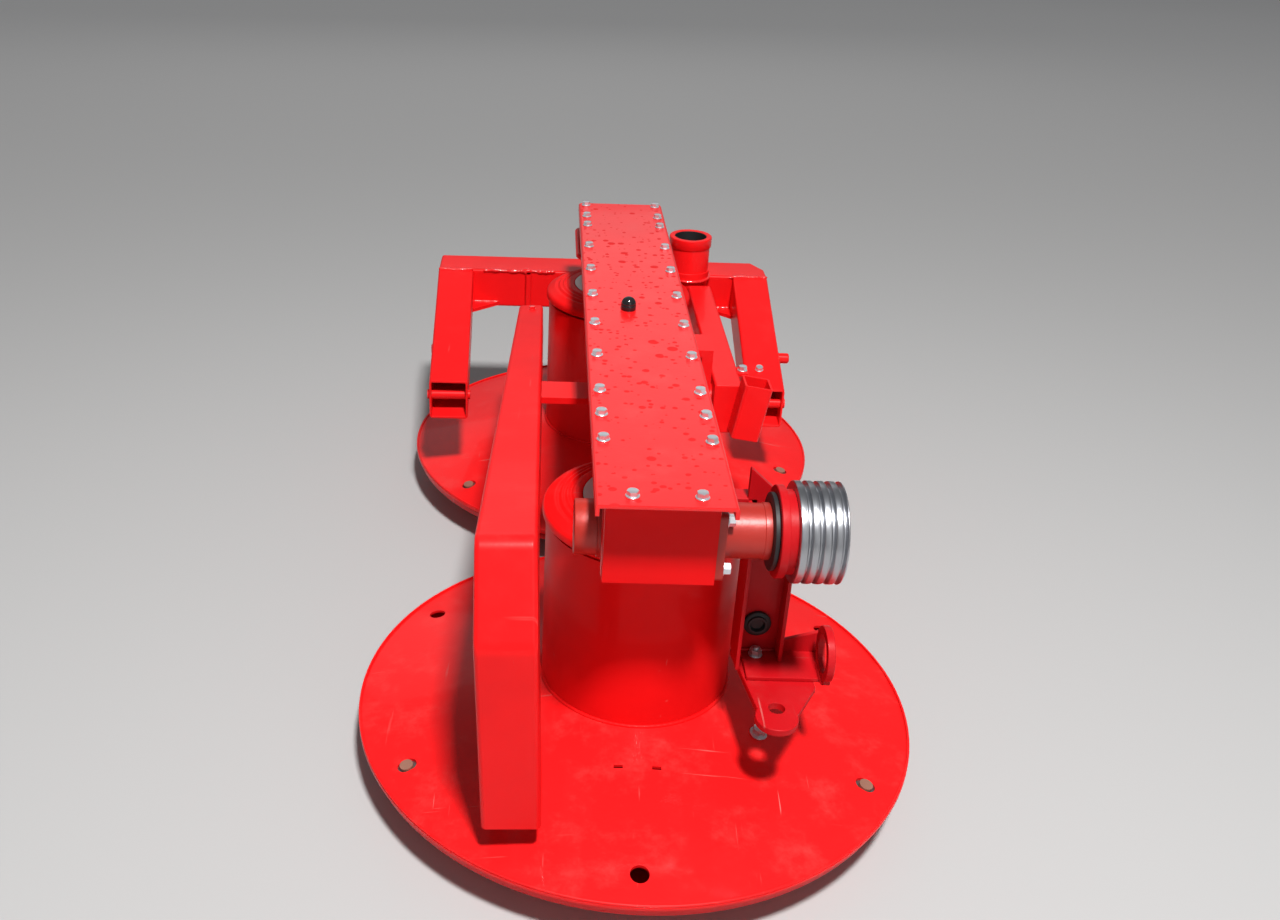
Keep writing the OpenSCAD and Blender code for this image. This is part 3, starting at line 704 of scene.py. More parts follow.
class Palette:
    """All finishes of the mower, built once."""

    def __init__(self) -> None:
        """Builds the shared effects and every material."""
        red, fx = (0.80, 0.0075, 0.009), Effects()
        self.paint = Finish("red_gloss_paint", red, 0.36, coat=0.1, gloss=0.12, peel=0.3, drift=0.15,
                            dust=0.03, scuff=0.2).skin(fx)
        self.lid = Finish("red_lid_paint", red, 0.33, coat=0.3, gloss=0.35, peel=0.3, drift=0.12,
                          dust=0.06, scuff=0.3, drops=1.0).skin(fx)
        self.disc = Finish("red_disc_paint", red, 0.36, coat=0.15, gloss=0.22, peel=0.35, drift=0.15,
                           dust=0.08, scuff=0.7).skin(fx)
        self.drum = Finish("red_drum_paint", (0.78, 0.006, 0.007), 0.42, coat=0.05, gloss=0.06, peel=0.3,
                           drift=0.2, dust=0.03, scuff=0.3).skin(fx)
        # The welds' pale scuff flecks are painted glint highlights, partly chipped paint.
        self.weld = Finish("red_weld_with_painted_glints", (0.78, 0.010, 0.012), 0.22, coat=0.9, gloss=0.6, peel=0.5,
                           drift=0.2, scuff=1.0, scuff_colour=(0.85, 0.62, 0.58)).skin(fx)
        # Darker red of the hub ring and hanger gear: partly the darker paint these parts have, partly painted shade
        # matched to the channel, which sits in the shadow of the housing and pulley.
        self.dark = Finish("dark_red_paint_and_painted_shade", (0.50, 0.006, 0.010), 0.40, coat=0.08, gloss=0.12, peel=0.4,
                           drift=0.3, dust=0.06, scuff=0.5).skin(fx)
        self.primer = Finish("brown_red_primer", (0.46, 0.026, 0.016), 0.38, "primer_paint", metal=0.15,
                             peel=0.5, drift=0.5, dark=(0.10, 0.01, 0.01), dust=0.2, scuff=0.8,
                             scuff_colour=(0.55, 0.42, 0.38)).skin(fx)
        self.zinc = Finish("zinc_plate", (0.70, 0.72, 0.76), 0.30, "bare_steel", metal=0.75, peel=0.4,
                           drift=0.35, dark=(0.45, 0.45, 0.45)).skin(fx)
        self.turned = Finish("turned_pulley_steel", (0.46, 0.47, 0.50), 0.24, "turned_steel", metal=1.0,
                             drift=0.25, dark=(0.32, 0.31, 0.31), tool_marks=(2400.0, 6.0, 6.0)).skin(fx)
        self.steel = Finish("plain_steel", (0.42, 0.41, 0.40), 0.4, "bare_steel", metal=1.0, peel=0.6,
                            drift=0.4, dark=(0.20, 0.17, 0.15)).skin(fx)
        self.brown = Finish("browned_bolt_steel", (0.42, 0.20, 0.14), 0.5, "brown_steel", metal=0.35, peel=0.8,
                            drift=0.6, dark=(0.10, 0.035, 0.02), dust=0.2).skin(fx)
        self.rubber = Finish("black_rubber", (0.012, 0.012, 0.013), 0.55, "black_rubber", peel=0.4,
                             dust=0.1).skin(fx)
        self.plastic = Finish("black_dome_plastic", (0.01, 0.01, 0.011), 0.14, "black_plastic", coat=0.4,
                              peel=0.1, dust=0.05).skin(fx)


@dataclass
class Assembly:
    """Common work of a sub-assembly: turning shells into pieces and dressing CAD nodes."""

    palette: Palette
    body: str = "gear_beam"

    def piece(self, name: str, shell: Shell, skin: Skin, *replaces: str, flat: bool = True, body: str = "") -> None:
        """Makes a mesh piece from a shell, lets it ride on a body and reports it.

        Args:
            name: the piece's name.
            shell: its points and faces.
            skin: its material and slot.
            replaces: the CAD nodes that it stands for.
            flat: weights the normals by face area, for flat faces with rounded rims.
            body: the CAD body it rides on; this assembly's own if left out.
        """
        mesh = bpy.data.meshes.new(name)
        mesh.from_pydata((np.concatenate(shell.points) * MM).tolist(), [], shell.faces)
        mesh.validate()
        mesh.polygons.foreach_set("use_smooth", np.ones(len(mesh.polygons), bool))
        mesh.set_sharp_from_angle(angle=CREASE)
        obj = bpy.data.objects.new(name, mesh)
        bpy.context.scene.collection.objects.link(obj)
        mesh.materials.append(skin.material)
        if flat:
            weigh = obj.modifiers.new("weigh", "WEIGHTED_NORMAL")
            weigh.keep_sharp = True
            weigh.weight = 80
        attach(obj, body or self.body)
        if replaces:
            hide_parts(*replaces)
        log.info("piece %s: %d faces on %s", name, len(mesh.polygons), body or self.body)

    def dress(self, skin: Skin, *nodes: str) -> None:
        """Gives the named CAD nodes a finish.

        Args:
            skin: the finish.
            nodes: the nodes' names.
        """
        for name in nodes:
            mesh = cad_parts[name].data
            mesh.materials.clear()
            mesh.materials.append(skin.material)
            log.info("node %s: %s", name, skin.material.name)


@dataclass
class HexBolt:
    """A hex head with its washer and an optional stud, head up along local Z, seated at z = 0."""

    across: float = 12.4
    head: float = 6.0
    washer_r: float = 8.4
    washer_t: float = 1.6
    stud: float = 0.0

    def shell(self, turn: float) -> Shell:
        """Builds the head, washer and stud.

        The head's radius at angle v is f / cos(v mod 60 - 30); its top falls by 0.55 of what that exceeds 0.97 f.

        Args:
            turn: rotation of the flats in radians.

        Returns:
            The shell.
        """
        flats, base, top = self.across / 2, self.washer_t, self.washer_t + self.head
        v = full_turn(36)
        hexa = flats / np.cos((v + np.pi / 6) % (np.pi / 3) - np.pi / 6)
        one, none = np.ones(36), np.zeros(36)
        r = np.stack([none, hexa, hexa, one * flats * 0.93, none])
        z = np.stack([one * base, one * base, top - (hexa - flats * 0.97) * 0.55, one * top, one * top])
        t, w, edge = self.washer_t, self.washer_r, 0.4
        ring = turned([[0, 0], [w - edge, 0], [w, edge], [w, t - edge], [w - edge, t], [0, t]], 28)
        shell = lathe(r, z, turn).join(ring)
        if self.stud:
            s, low, high = self.across * 0.28, top - 1, top + self.stud
            shell.join(turned([[0, low], [s, low], [s, high - 1], [s - 1, high], [0, high]], 20))
        return shell


@dataclass
class GearBeam(Assembly):
    """The long gear beam with its lid, end plates, input housing and breather."""

    lid_y: Pair = (-666.5, 507.5)
    lid_top: float = 539.0
    lid_half: float = 80.0
    sheet: float = 5.0
    drop: float = 15.0
    wall: float = 66.0
    bolt_y: tuple[float, ...] = (492.5, 419.5, 362.5, 240.5, 118.5, -2.5, -124.5, -244.5, -363.5, -435.5, -506.5)
    end_bolts: tuple[Pair, ...] = ((-38.0, -644.5), (40.0, -644.5))
    plates_y: Pair = (-619.5, 486.5)
    breather_at: Pair = (-13, -62)
    input_at: Point = INPUT_AT
    flange_x: float = 76.0
    flange_half: float = 45.0
    flange_bolt: float = 33.0
    seam_z: Pair = (414.0, 520.0)

    def build(self) -> None:
        """Builds and dresses the beam."""
        self.dress(self.palette.paint, "beam_box")
        self.dress(self.palette.drum, "beam_end_plates")
        self.lid()
        self.bolts()
        self.breather()
        self.input()
        self.seams()

    def lid(self) -> None:
        """The folded lid: an inverted U section with bent corners, carried along Y."""
        w, t, z1, z0 = self.lid_half, self.sheet, self.lid_top, self.lid_top - self.drop
        corners = [[w, z0], [w, z1], [-w, z1], [-w, z0], [t - w, z0], [t - w, z1 - t], [w - t, z1 - t], [w - t, z0]]
        section = rounded(corners, [0.6, 5.5, 5.5, 0.6, 0.6, 1.2, 1.2, 0.6], 6)
        self.piece("lid_sheet", slab(Axis.Y, *self.lid_y, [section]), self.palette.lid, "beam_lid")

    def bolts(self) -> None:
        """Zinc hex bolts along the lid's edges and near end and round the housing flange."""
        rng, lid, flange = np.random.default_rng(7), Shell(), Shell()
        for x, y in [(x, y) for x in (-self.wall, self.wall) for y in self.bolt_y] + list(self.end_bolts):
            lid.join(HexBolt().shell(rng.uniform(0, 1)), (x, y, self.lid_top))
        self.piece("lid_bolts", lid, self.palette.zinc, flat=False)
        (_, y, z), off = self.input_at, self.flange_bolt
        for dy, dz in ((-off, -off), (-off, off), (off, -off), (off, off)):
            bolt = HexBolt(across=13, head=8, washer_r=9).shell(rng.uniform(0, 1)).moved(along((1, 0, 0)))
            flange.join(bolt, (self.flange_x, y + dy, z + dz))
        self.piece("flange_bolts", flange, self.palette.zinc, flat=False)

    def breather(self) -> None:
        """Black domed breather: a short collar under a dome (R cos a, h + R sin a)."""
        a, r, h = np.linspace(0, np.pi / 2, 14), 11.3, 9
        dome = np.stack([r * np.cos(a), h + r * np.sin(a)], -1)
        dome[-1, 0] = 0
        collar = [[0, 0], [11.2, 0], [11.5, 0.4], [11.5, 8.2], [11.2, 8.6]]
        shell = turned(np.concatenate([collar, dome]), 48, Axis.Z, (*self.breather_at, self.lid_top))
        self.piece("breather_dome", shell, self.palette.plastic, "breather_plug", flat=False)

    def input(self) -> None:
        """Input shaft housing: stub on the left, flange plate, housing and seal ring on the right."""
        p, at, half, w, x = self.palette, self.input_at, self.flange_half, self.wall, self.flange_x
        stub = [[0, -100], [31.5, -100], [33, -99.3], [33.5, -98], [33.5, -73], [36, -73], [36.5, -72.4],
                [36.5, -w], [0, -w]]
        self.piece("input_stub_cap", turned(stub, 96, Axis.X, at), p.primer, "input_stub", flat=False)
        tube = [[0, x], [33.5, x], [33.5, 123], [34, 123.4], [34.5, 124], [34.5, 131], [33.8, 132], [0, 132]]
        plate = box(Axis.X, w, x, (at[1] - half, at[2] - half), (at[1] + half, at[2] + half), 6)
        self.piece("input_housing", plate.join(turned(tube, 96, Axis.X, at)), p.primer, "bearing_housing")
        seal = [[22, 132], [45, 132], [47, 132.8], [47, 137], [46, 138], [40, 138], [39.5, 137], [33, 137],
                [32.5, 138], [22.5, 138], [22, 137.5], [22, 132]]
        self.piece("input_seal", turned(seal, 96, Axis.X, at), p.rubber, "seal_ring", flat=False)

    def seams(self) -> None:
        """Weld beads where the end plates meet the beam and the stub's collar meets its wall."""
        shell, (z0, z1) = Shell(), self.seam_z
        for y in self.plates_y:
            for x in (-self.wall, self.wall):
                shell.join(bead((x, y, z0), (x, y, z1), 1.8, int(abs(x + y))))
        shell.join(ring_bead((-self.wall - 0.5, *self.input_at[1:]), 37.0, 2.0, Axis.X, 3))
        self.piece("beam_welds", shell, self.palette.weld, flat=False)


@dataclass
class InputDrive(Assembly):
    """The four-groove pulley with its painted hub ring and shaft."""

    body: str = "input_pulley"
    at: Point = INPUT_AT
    rim: float = 61.5
    face: Pair = (158.8, 214.8)
    groove_x: tuple[float, ...] = (170.2, 183.4, 196.7, 209.9)

    def build(self) -> None:
        """Builds the pulley: a rim with flat lands between V grooves, and a dished face round the hub."""
        self.dress(self.palette.steel, "pulley_shaft")
        hub = [[16, 138.3], [55, 138.3], [56, 139.2], [56, 147.4], [55.2, 148.3], [51, 148.3], [51, 158.8],
               [16, 158.8], [16, 138.3]]
        self.piece("hub_ring", turned(hub, 96, Axis.X, self.at), self.palette.dark, "pulley_hub_ring")
        rim, (x0, x1) = self.rim, self.face
        half = np.array([[-0.05, -3.6], [-0.25, -3.1], [-0.6, -2.75], [-5.6, -1.2], [-6.0, -0.8]])
        groove = np.concatenate([half, half[::-1] * [1, -1]])
        start = [[15.1, x0], [rim - 0.9, x0], [rim - 0.1, x0 + 0.8]]
        end = [[rim - 0.3, x1 - 0.6], [rim - 1.1, x1], [44.5, x1], [43.6, x1 - 1], [42, x1 - 21], [41, x1 - 22],
               [30, x1 - 22], [29, x1 - 21], [28, x1 - 5], [27, x1 - 4], [15.1, x1 - 4], [15.1, x0]]
        profile = np.concatenate([start] + [groove + [rim, x] for x in self.groove_x] + [end])
        self.piece("grooved_pulley", turned(profile, 128, Axis.X, self.at), self.palette.turned, "vbelt_pulley",
                   flat=False)


@dataclass
class Drum(Assembly):
    """One drum with its cutting disc, knife gear, ribbed cover and sliding dish."""

    side: str = "near"
    y: float = -412.5
    angle: float = 88.5
    rim_r: float = 392.0
    rim_z: float = 75.0
    drum_r: float = 132.0
    base_z: float = 130.0
    roll_r: float = 1.75
    bolt_r: float = 203.0
    bolt_lag: float = -5.5

    def build(self) -> None:
        """Dresses the drum's nodes and adds its cover, bolts, rim and welds."""
        s, p = self.side, self.palette
        self.body = f"{s}_drum"
        self.dress(p.disc, f"{s}_cutting_disc", f"{s}_sliding_dish")
        self.dress(p.drum, f"{s}_drum_shell")
        self.dress(p.steel, f"{s}_bearing_hub", f"{s}_drum_shaft", f"{s}_knife_holders")
        self.dress(p.brown, f"{s}_knife_bolts")
        self.cover()
        self.holder_bolts()
        weld = ring_bead((0, self.y, self.base_z + 0.4), self.drum_r + 0.6, 2.6, Axis.Z, 11)
        self.piece(f"{s}_drum_weld", weld, p.drum, flat=False)
        v, r = full_turn(240), self.rim_r - 1.8  # the rolled rim stays just inside the disc's edge
        ring = np.stack([r * np.cos(v), self.y + r * np.sin(v), 0 * v + self.rim_z + 2], -1)
        self.piece(f"{s}_disc_rim", swept(ring, self.roll_r, 8, closed=True), p.disc, flat=False)

    def cover(self) -> None:
        """Ribbed sheet cover over the drum's top: a profile with softened corners, turned about the drum's axis."""
        profile = [[84, 411], [84, 408], [90, 404], [120, 400], [126, 398], [132, 395], [134, 392.5], [134, 384],
                   [137, 384], [137, 394], [134, 398], [128, 401], [121, 405], [116, 403], [112, 408], [108, 406],
                   [104, 410], [100, 407], [96, 411], [92, 411]]
        shell = turned(softened(profile, 2), 120, Axis.Z, (0, self.y, 0))
        self.piece(f"{self.side}_cover_rings", shell, self.palette.drum, f"{self.side}_drum_cover", flat=False,
                   body="gear_beam")

    def holder_bolts(self) -> None:
        """Zinc bolts that hold the knife springs, seated square on the cone."""
        shell, r = Shell(), self.bolt_r
        slope = math.atan((self.base_z - self.rim_z) / (self.rim_r - self.drum_r))
        z = self.base_z - math.tan(slope) * (r - self.drum_r)
        for k in range(3):
            a = math.radians(self.angle + self.bolt_lag + 120 * k)
            out = np.array([math.cos(a), math.sin(a)])
            square = along((*(math.sin(slope) * out), math.cos(slope)))
            bolt = HexBolt(across=17, head=8, washer_r=12, washer_t=2).shell(k).moved(square)
            shell.join(bolt, (r * out[0], self.y + r * out[1], z))
        self.piece(f"{self.side}_holder_bolts", shell, self.palette.zinc, flat=False)


@dataclass
class BeltGuard(Assembly):
    """The folded sheet guard over the belts: a U channel that drops at its nose, and its bracket."""

    outer: tuple[Pair, ...] = ((-732.5, 125), (-732.5, 390), (-667.5, 495), (380.5, 375))
    lower: tuple[Pair, ...] = ((-640.5, 125), (-634.5, 400), (-560.5, 420), (380.5, 318))
    bend: Pair = (11, 14)
    ends_y: Pair = (-742.5, 390.5)
    right_x: Pair = (-140, -146)
    left_x: Pair = (-213, -191)
    sheet: float = 3.0
    corner: float = 6.5
    lean: float = math.radians(-2)
    lean_about: Pair = (-140, 440)
    bolt_at: Point = (-166, 352, 378.2)

    def build(self) -> None:
        """Builds the sheet and its end bolt and dresses the bracket."""
        self.dress(self.palette.paint, "guard_bracket")
        self.piece("guard_sheet", self.sheet_shell(), self.palette.paint, "belt_guard")
        bolt = Shell().join(HexBolt(across=10, head=5, washer_r=7, washer_t=1.2).shell(0.4), self.bolt_at)
        bolt.points = [self.leaned(bolt.points[0])]
        self.piece("guard_end_bolt", bolt, self.palette.weld, flat=False)

    def leaned(self, pts: Array) -> Array:
        """Leans points about a line along Y.

        Args:
            pts: n by 3 points.

        Returns:
            The points, turned by the angle of lean.
        """
        x0, z0 = self.lean_about
        c, s, x, z = math.cos(self.lean), math.sin(self.lean), pts[:, 0] - x0, pts[:, 2] - z0
        return np.stack([x0 + x * c + z * s, pts[:, 1], z0 - x * s + z * c], -1)

    def sheet_shell(self) -> Shell:
        """Folded sheet p(s, t): at station s a U section, drawn in x and along the line from lower edge to ridge.

        The section runs up the right wall, over and down the left wall, and back inside by the sheet's thickness.

        Returns:
            A closed shell.
        """
        top, low = bent(self.outer, self.bend, 9), bent(self.lower, self.bend, 9)
        up = top - low
        length = np.linalg.norm(up, axis=1)
        up /= length[:, None]
        share = (top[:, 0] - self.ends_y[0]) / (self.ends_y[1] - self.ends_y[0])
        right, left = (x[0] + share * (x[1] - x[0]) for x in (self.right_x, self.left_x))
        a, walls = np.linspace(0, np.pi / 2, 6), []
        for gap in (0.0, self.sheet):
            rad = self.corner - gap
            xr, xl, h = (q[:, None] for q in (right - gap, left + gap, length - gap))
            xs = [xr, xr - rad + rad * np.cos(a), xl + rad - rad * np.sin(a), xl]
            hs = [0 * h, h - rad + rad * np.sin(a), h - rad + rad * np.cos(a), 0 * h]
            walls.append((np.concatenate(xs, 1), np.concatenate(hs, 1)))
        x, h = (np.concatenate([outside, inside[:, ::-1]], 1) for outside, inside in zip(*walls))
        pts = np.stack([x, low[:, :1] + up[:, :1] * h, low[:, 1:] + up[:, 1:] * h], -1)
        n, cols = x.shape
        j = np.arange(cols // 2 - 1)
        cap = np.stack([j, cols - 1 - j, cols - 2 - j, j + 1], -1)
        faces = np.concatenate([grid_faces(n, cols, False, True), cap, cap[:, ::-1] + (n - 1) * cols])
        return Shell().add(self.leaned(pts.reshape(-1, 3)), faces[:, ::-1].tolist())


@dataclass
class HangerGear(Assembly):
    """Hanger channel, plug, tongue, cross bar, ring lug, arm bracket and grab loop."""

    housing: Pair = INPUT_AT[1:]
    housing_r: float = 34.5
    notch_from: float = -0.4855
    plate_z: float = 215.0
    bar_z: float = 225.0
    foot_z: float = 231.0
    left_x: Pair = (118, 123)
    left_y: Pair = (-548, -504)
    right_x: Pair = (176, 181)
    right_y: Pair = (-530, -500)
    right_top: float = 384.0
    web_y: Pair = (-505, -495)
    web_cut: tuple[Pair, ...] = ((181, 440), (146, 478), (118, 504))
    seat_x: Pair = (66, 130)
    seat: tuple[Pair, Pair] = ((-505, 425), (-479, 461))
    tongue_corners: tuple[Pair, ...] = ((119, -495), (141, -641), (178, -644), (219, -573), (219, -495))
    tongue_mid: Pair = (160.0, -615.0)
    tip_at: Pair = (160.0, -633.0)
    tip_r: float = 27.0
    tongue_hole: Pair = (162, -617)
    hole_r: float = 10.5
    bar_x: Pair = (131, 236)
    bar_y: Pair = (-563, -493)
    brace_z: float = 230.0
    plug_at: Point = (148, 0, 276)
    nut_at: Pair = (149, -514)
    grab_x: Pair = (-65, -81)
    grab_y: Pair = (312, 476)
    grab_z: float = 495.0
    grab_r: float = 5.0
    weld_r: float = 2.2
    ring_x: Pair = (226, 236)
    ring_at: Pair = (-552.0, 263.0)
    ring_r: float = 36.0
    ring_hole: float = 25.0
    ring_foot: Pair = (24.0, 32.0)

    def build(self) -> None:
        """Builds the plates and small parts."""
        self.dress(self.palette.paint, "arm_bracket")
        self.dress(self.palette.zinc, "hinge_pin")
        self.channel()
        self.tongue()
        self.ring()
        self.small_parts()

    def channel(self) -> None:
        """Upright channel with a cut-off top, its left flange notched round the input housing, and its seat block."""
        foot, (y0, y1), (front, back) = self.foot_z, self.left_y, self.right_y
        web = rounded([[self.left_x[0], foot], [self.right_x[1], foot], *self.web_cut], 1.5, 3)
        notch = np.array(self.housing) + self.housing_r * rays(np.linspace(self.notch_from, 0, 7))
        left = np.concatenate([[[y0, foot], [y1, foot], [y1, self.housing[1]]], notch[::-1]])
        plates = slab(Axis.Y, *self.web_y, [web]).join(slab(Axis.X, *self.left_x, [left]))
        plates.join(box(Axis.X, *self.right_x, (front, foot), (back, self.right_top)))
        plates.join(box(Axis.X, *self.seat_x, *self.seat))
        # The plates' darker red is partly painted shade of the channel's shaded inside.
        self.piece("hanger_plates", plates, self.palette.dark, "hanger_channel")

    def tongue(self) -> None:
        """Tongue plate with its round end and hole, and the cross bar with its upright plates.

        The tongue's border lies at the greater of the reach of its straight sides and of its round end.
        """
        corners, centre, tip = (np.array(a, float) for a in (self.tongue_corners, self.tongue_mid, self.tip_at))
        extra = np.arctan2(*(corners - centre).T[::-1])
        u = rays(np.sort(np.concatenate([np.linspace(-np.pi, np.pi, 140, endpoint=False), extra])))
        d = tip - centre
        bulge = u @ d + np.sqrt(self.tip_r**2 - d @ d + (u @ d) ** 2)
        outline = centre + u * np.maximum(convex_reach(corners, centre, u), bulge)[:, None]
        hole = circle(self.tongue_hole, self.hole_r, 40)
        plate = slab(Axis.Z, self.plate_z, self.bar_z, [outline, hole], (1.6, 0.6), 4)
        self.piece("tongue_sheet", plate, self.palette.dark, "tongue_plate")
        (x0, x1), (y0, y1), z, mid = self.bar_x, self.bar_y, self.brace_z, self.right_x[1]
        bar = box(Axis.Z, self.bar_z, self.foot_z, (x0, y0), (x1, y1), 2, 1.2)
        bar.join(slab(Axis.Y, -505, -499, [rounded([[mid, z], [x1, z], [x1, z + 34], [mid, z + 17]], 1)]))
        bar.join(box(Axis.Y, -503, -499, (x0, z), (mid + 3, z + 32)))
        self.piece("cross_bar", bar, self.palette.dark, "tongue_bar")

    def ring(self) -> None:
        """Ring lug: a round plate with a wide hole on a square foot, cut level with the bar."""
        half, deep = self.ring_foot
        corners = np.arctan2([-deep, -deep], [-half, half])
        u = rays(np.sort(np.concatenate([np.linspace(-np.pi, np.pi, 120, endpoint=False), corners])))
        side = np.minimum(half / np.maximum(np.abs(u[:, 0]), 1e-6), 60)
        foot = np.minimum(np.maximum(self.ring_r, side), deep / np.maximum(-u[:, 1], 1e-6))
        outline = np.array(self.ring_at) + np.where(u[:, 1] < 0, foot, self.ring_r)[:, None] * u
        plate = slab(Axis.X, *self.ring_x, [outline, circle(self.ring_at, self.ring_hole, 56)], (1.3, 1.2), 4)
        self.piece("ring_plate", plate, self.palette.dark, "ring_lug")

    def small_parts(self) -> None:
        """Rubber plug, grab loop, stud with its nut, and the welds of the bar and the ring."""
        p, foot = self.palette, self.foot_z
        plug = [[0, -508], [8.5, -508], [9.5, -512.4], [10, -513], [12.4, -513], [13, -512.4], [13, -510.4],
                [17.2, -510], [18, -509.2], [18, -505], [0, -505]]
        self.piece("plug_rings", turned(plug, 48, Axis.Y, self.plug_at), p.rubber, "hanger_plug", flat=False)
        (x0, x1), (y0, y1), z = self.grab_x, self.grab_y, self.grab_z
        loop = bent([[x0, y0, z], [x1, y0, z], [x1, y1, z], [x0, y1, z]], 12, 8)
        self.piece("grab_rod", swept(loop, self.grab_r, 16), p.paint, "grab_loop", flat=False)
        nut = HexBolt(across=14, head=8, washer_r=9.5, stud=3).shell(0.3)
        self.piece("tongue_nut", Shell().join(nut, (*self.nut_at, foot)), p.zinc, flat=False)
        x, y, half, front, r = self.ring_x[0], self.ring_at[0], self.ring_foot[0], self.web_y[0] - 1, self.weld_r
        welds = bead((x, y - half, foot), (x, y + half, foot), r, 8)
        welds.join(bead((self.left_x[1], front, foot + 2), (self.right_x[0], front, foot + 2), r, 4))
        welds.join(bead((self.right_x[1], front, foot + 1), (self.right_x[1], front, foot + 31), r, 6))
        self.piece("hanger_welds", welds, p.dark, flat=False)


@dataclass
class LiftArm(Assembly):
    """The carrying arm with its boss, socket tube and bolt lug."""

    body: str = "lift_arm"
    hinge: Point = (0, 92.5, 325.0)
    side_x: float = 195.0
    arm_x: float = 148.0
    arm_y: Pair = (52.5, 542.5)
    arm_z: Pair = (276.0, 365.0)
    boss_r: float = 24.0
    lug: tuple[Pair, Pair] = ((194, 105), (212, 135))
    bolt_at: Point = (203, 120, 364)
    socket_at: Point = (176, 5.5, 290)
    socket_h: float = 97.0
    socket: float = 47.0
    wall: float = 4.0
    lean: float = math.radians(9)

    def build(self) -> None:
        """Builds the arm, its socket, bolt and welds."""
        p, side, w, t, r = self.palette, self.side_x, self.socket, self.wall, self.boss_r
        (z0, z1), (_, y0), (_, y1), seat = self.arm_z, *self.lug, self.bolt_at[2]
        self.dress(p.paint, "pivot_post")
        arm = slab(Axis.Y, *self.arm_y, [rect(self.arm_x, z0, side, z1, 5, 6)], 2.0, 4)
        boss = [[0, 141.3], [r - 1, 141.3], [r, 142.3], [r, side - 1], [r - 1, side], [0, side]]
        arm.join(turned(boss, 64, Axis.X, self.hinge)).join(box(Axis.Z, seat - 6, seat, *self.lug, 2, 1.0))
        self.piece("arm_tube", arm, p.paint, "carrying_arm")
        c, s = math.cos(self.lean), math.sin(self.lean)
        tube = slab(Axis.Z, 0, self.socket_h, [rect(0, 0, w, w, 5, 5), rect(t, t, w - t, w - t, 2, 4)], 0.7)
        tube = tube.moved(np.array([[c, 0, s], [0, 1, 0], [-s, 0, c]]), self.socket_at)
        self.piece("socket_sleeve", tube, p.paint, "socket_tube")
        bolt = HexBolt(across=13, head=7, washer_r=8.5).shell(0.2)
        self.piece("arm_bolt", Shell().join(bolt, self.bolt_at), p.zinc, flat=False)
        welds = ring_bead((side, *self.hinge[1:]), r, 2.2, Axis.X, 5)
        welds.join(bead((side, y0 + 1, seat - 3), (side, y1 - 1, seat - 3), 2.0, 2))
        self.piece("arm_welds", welds, p.weld, flat=False)


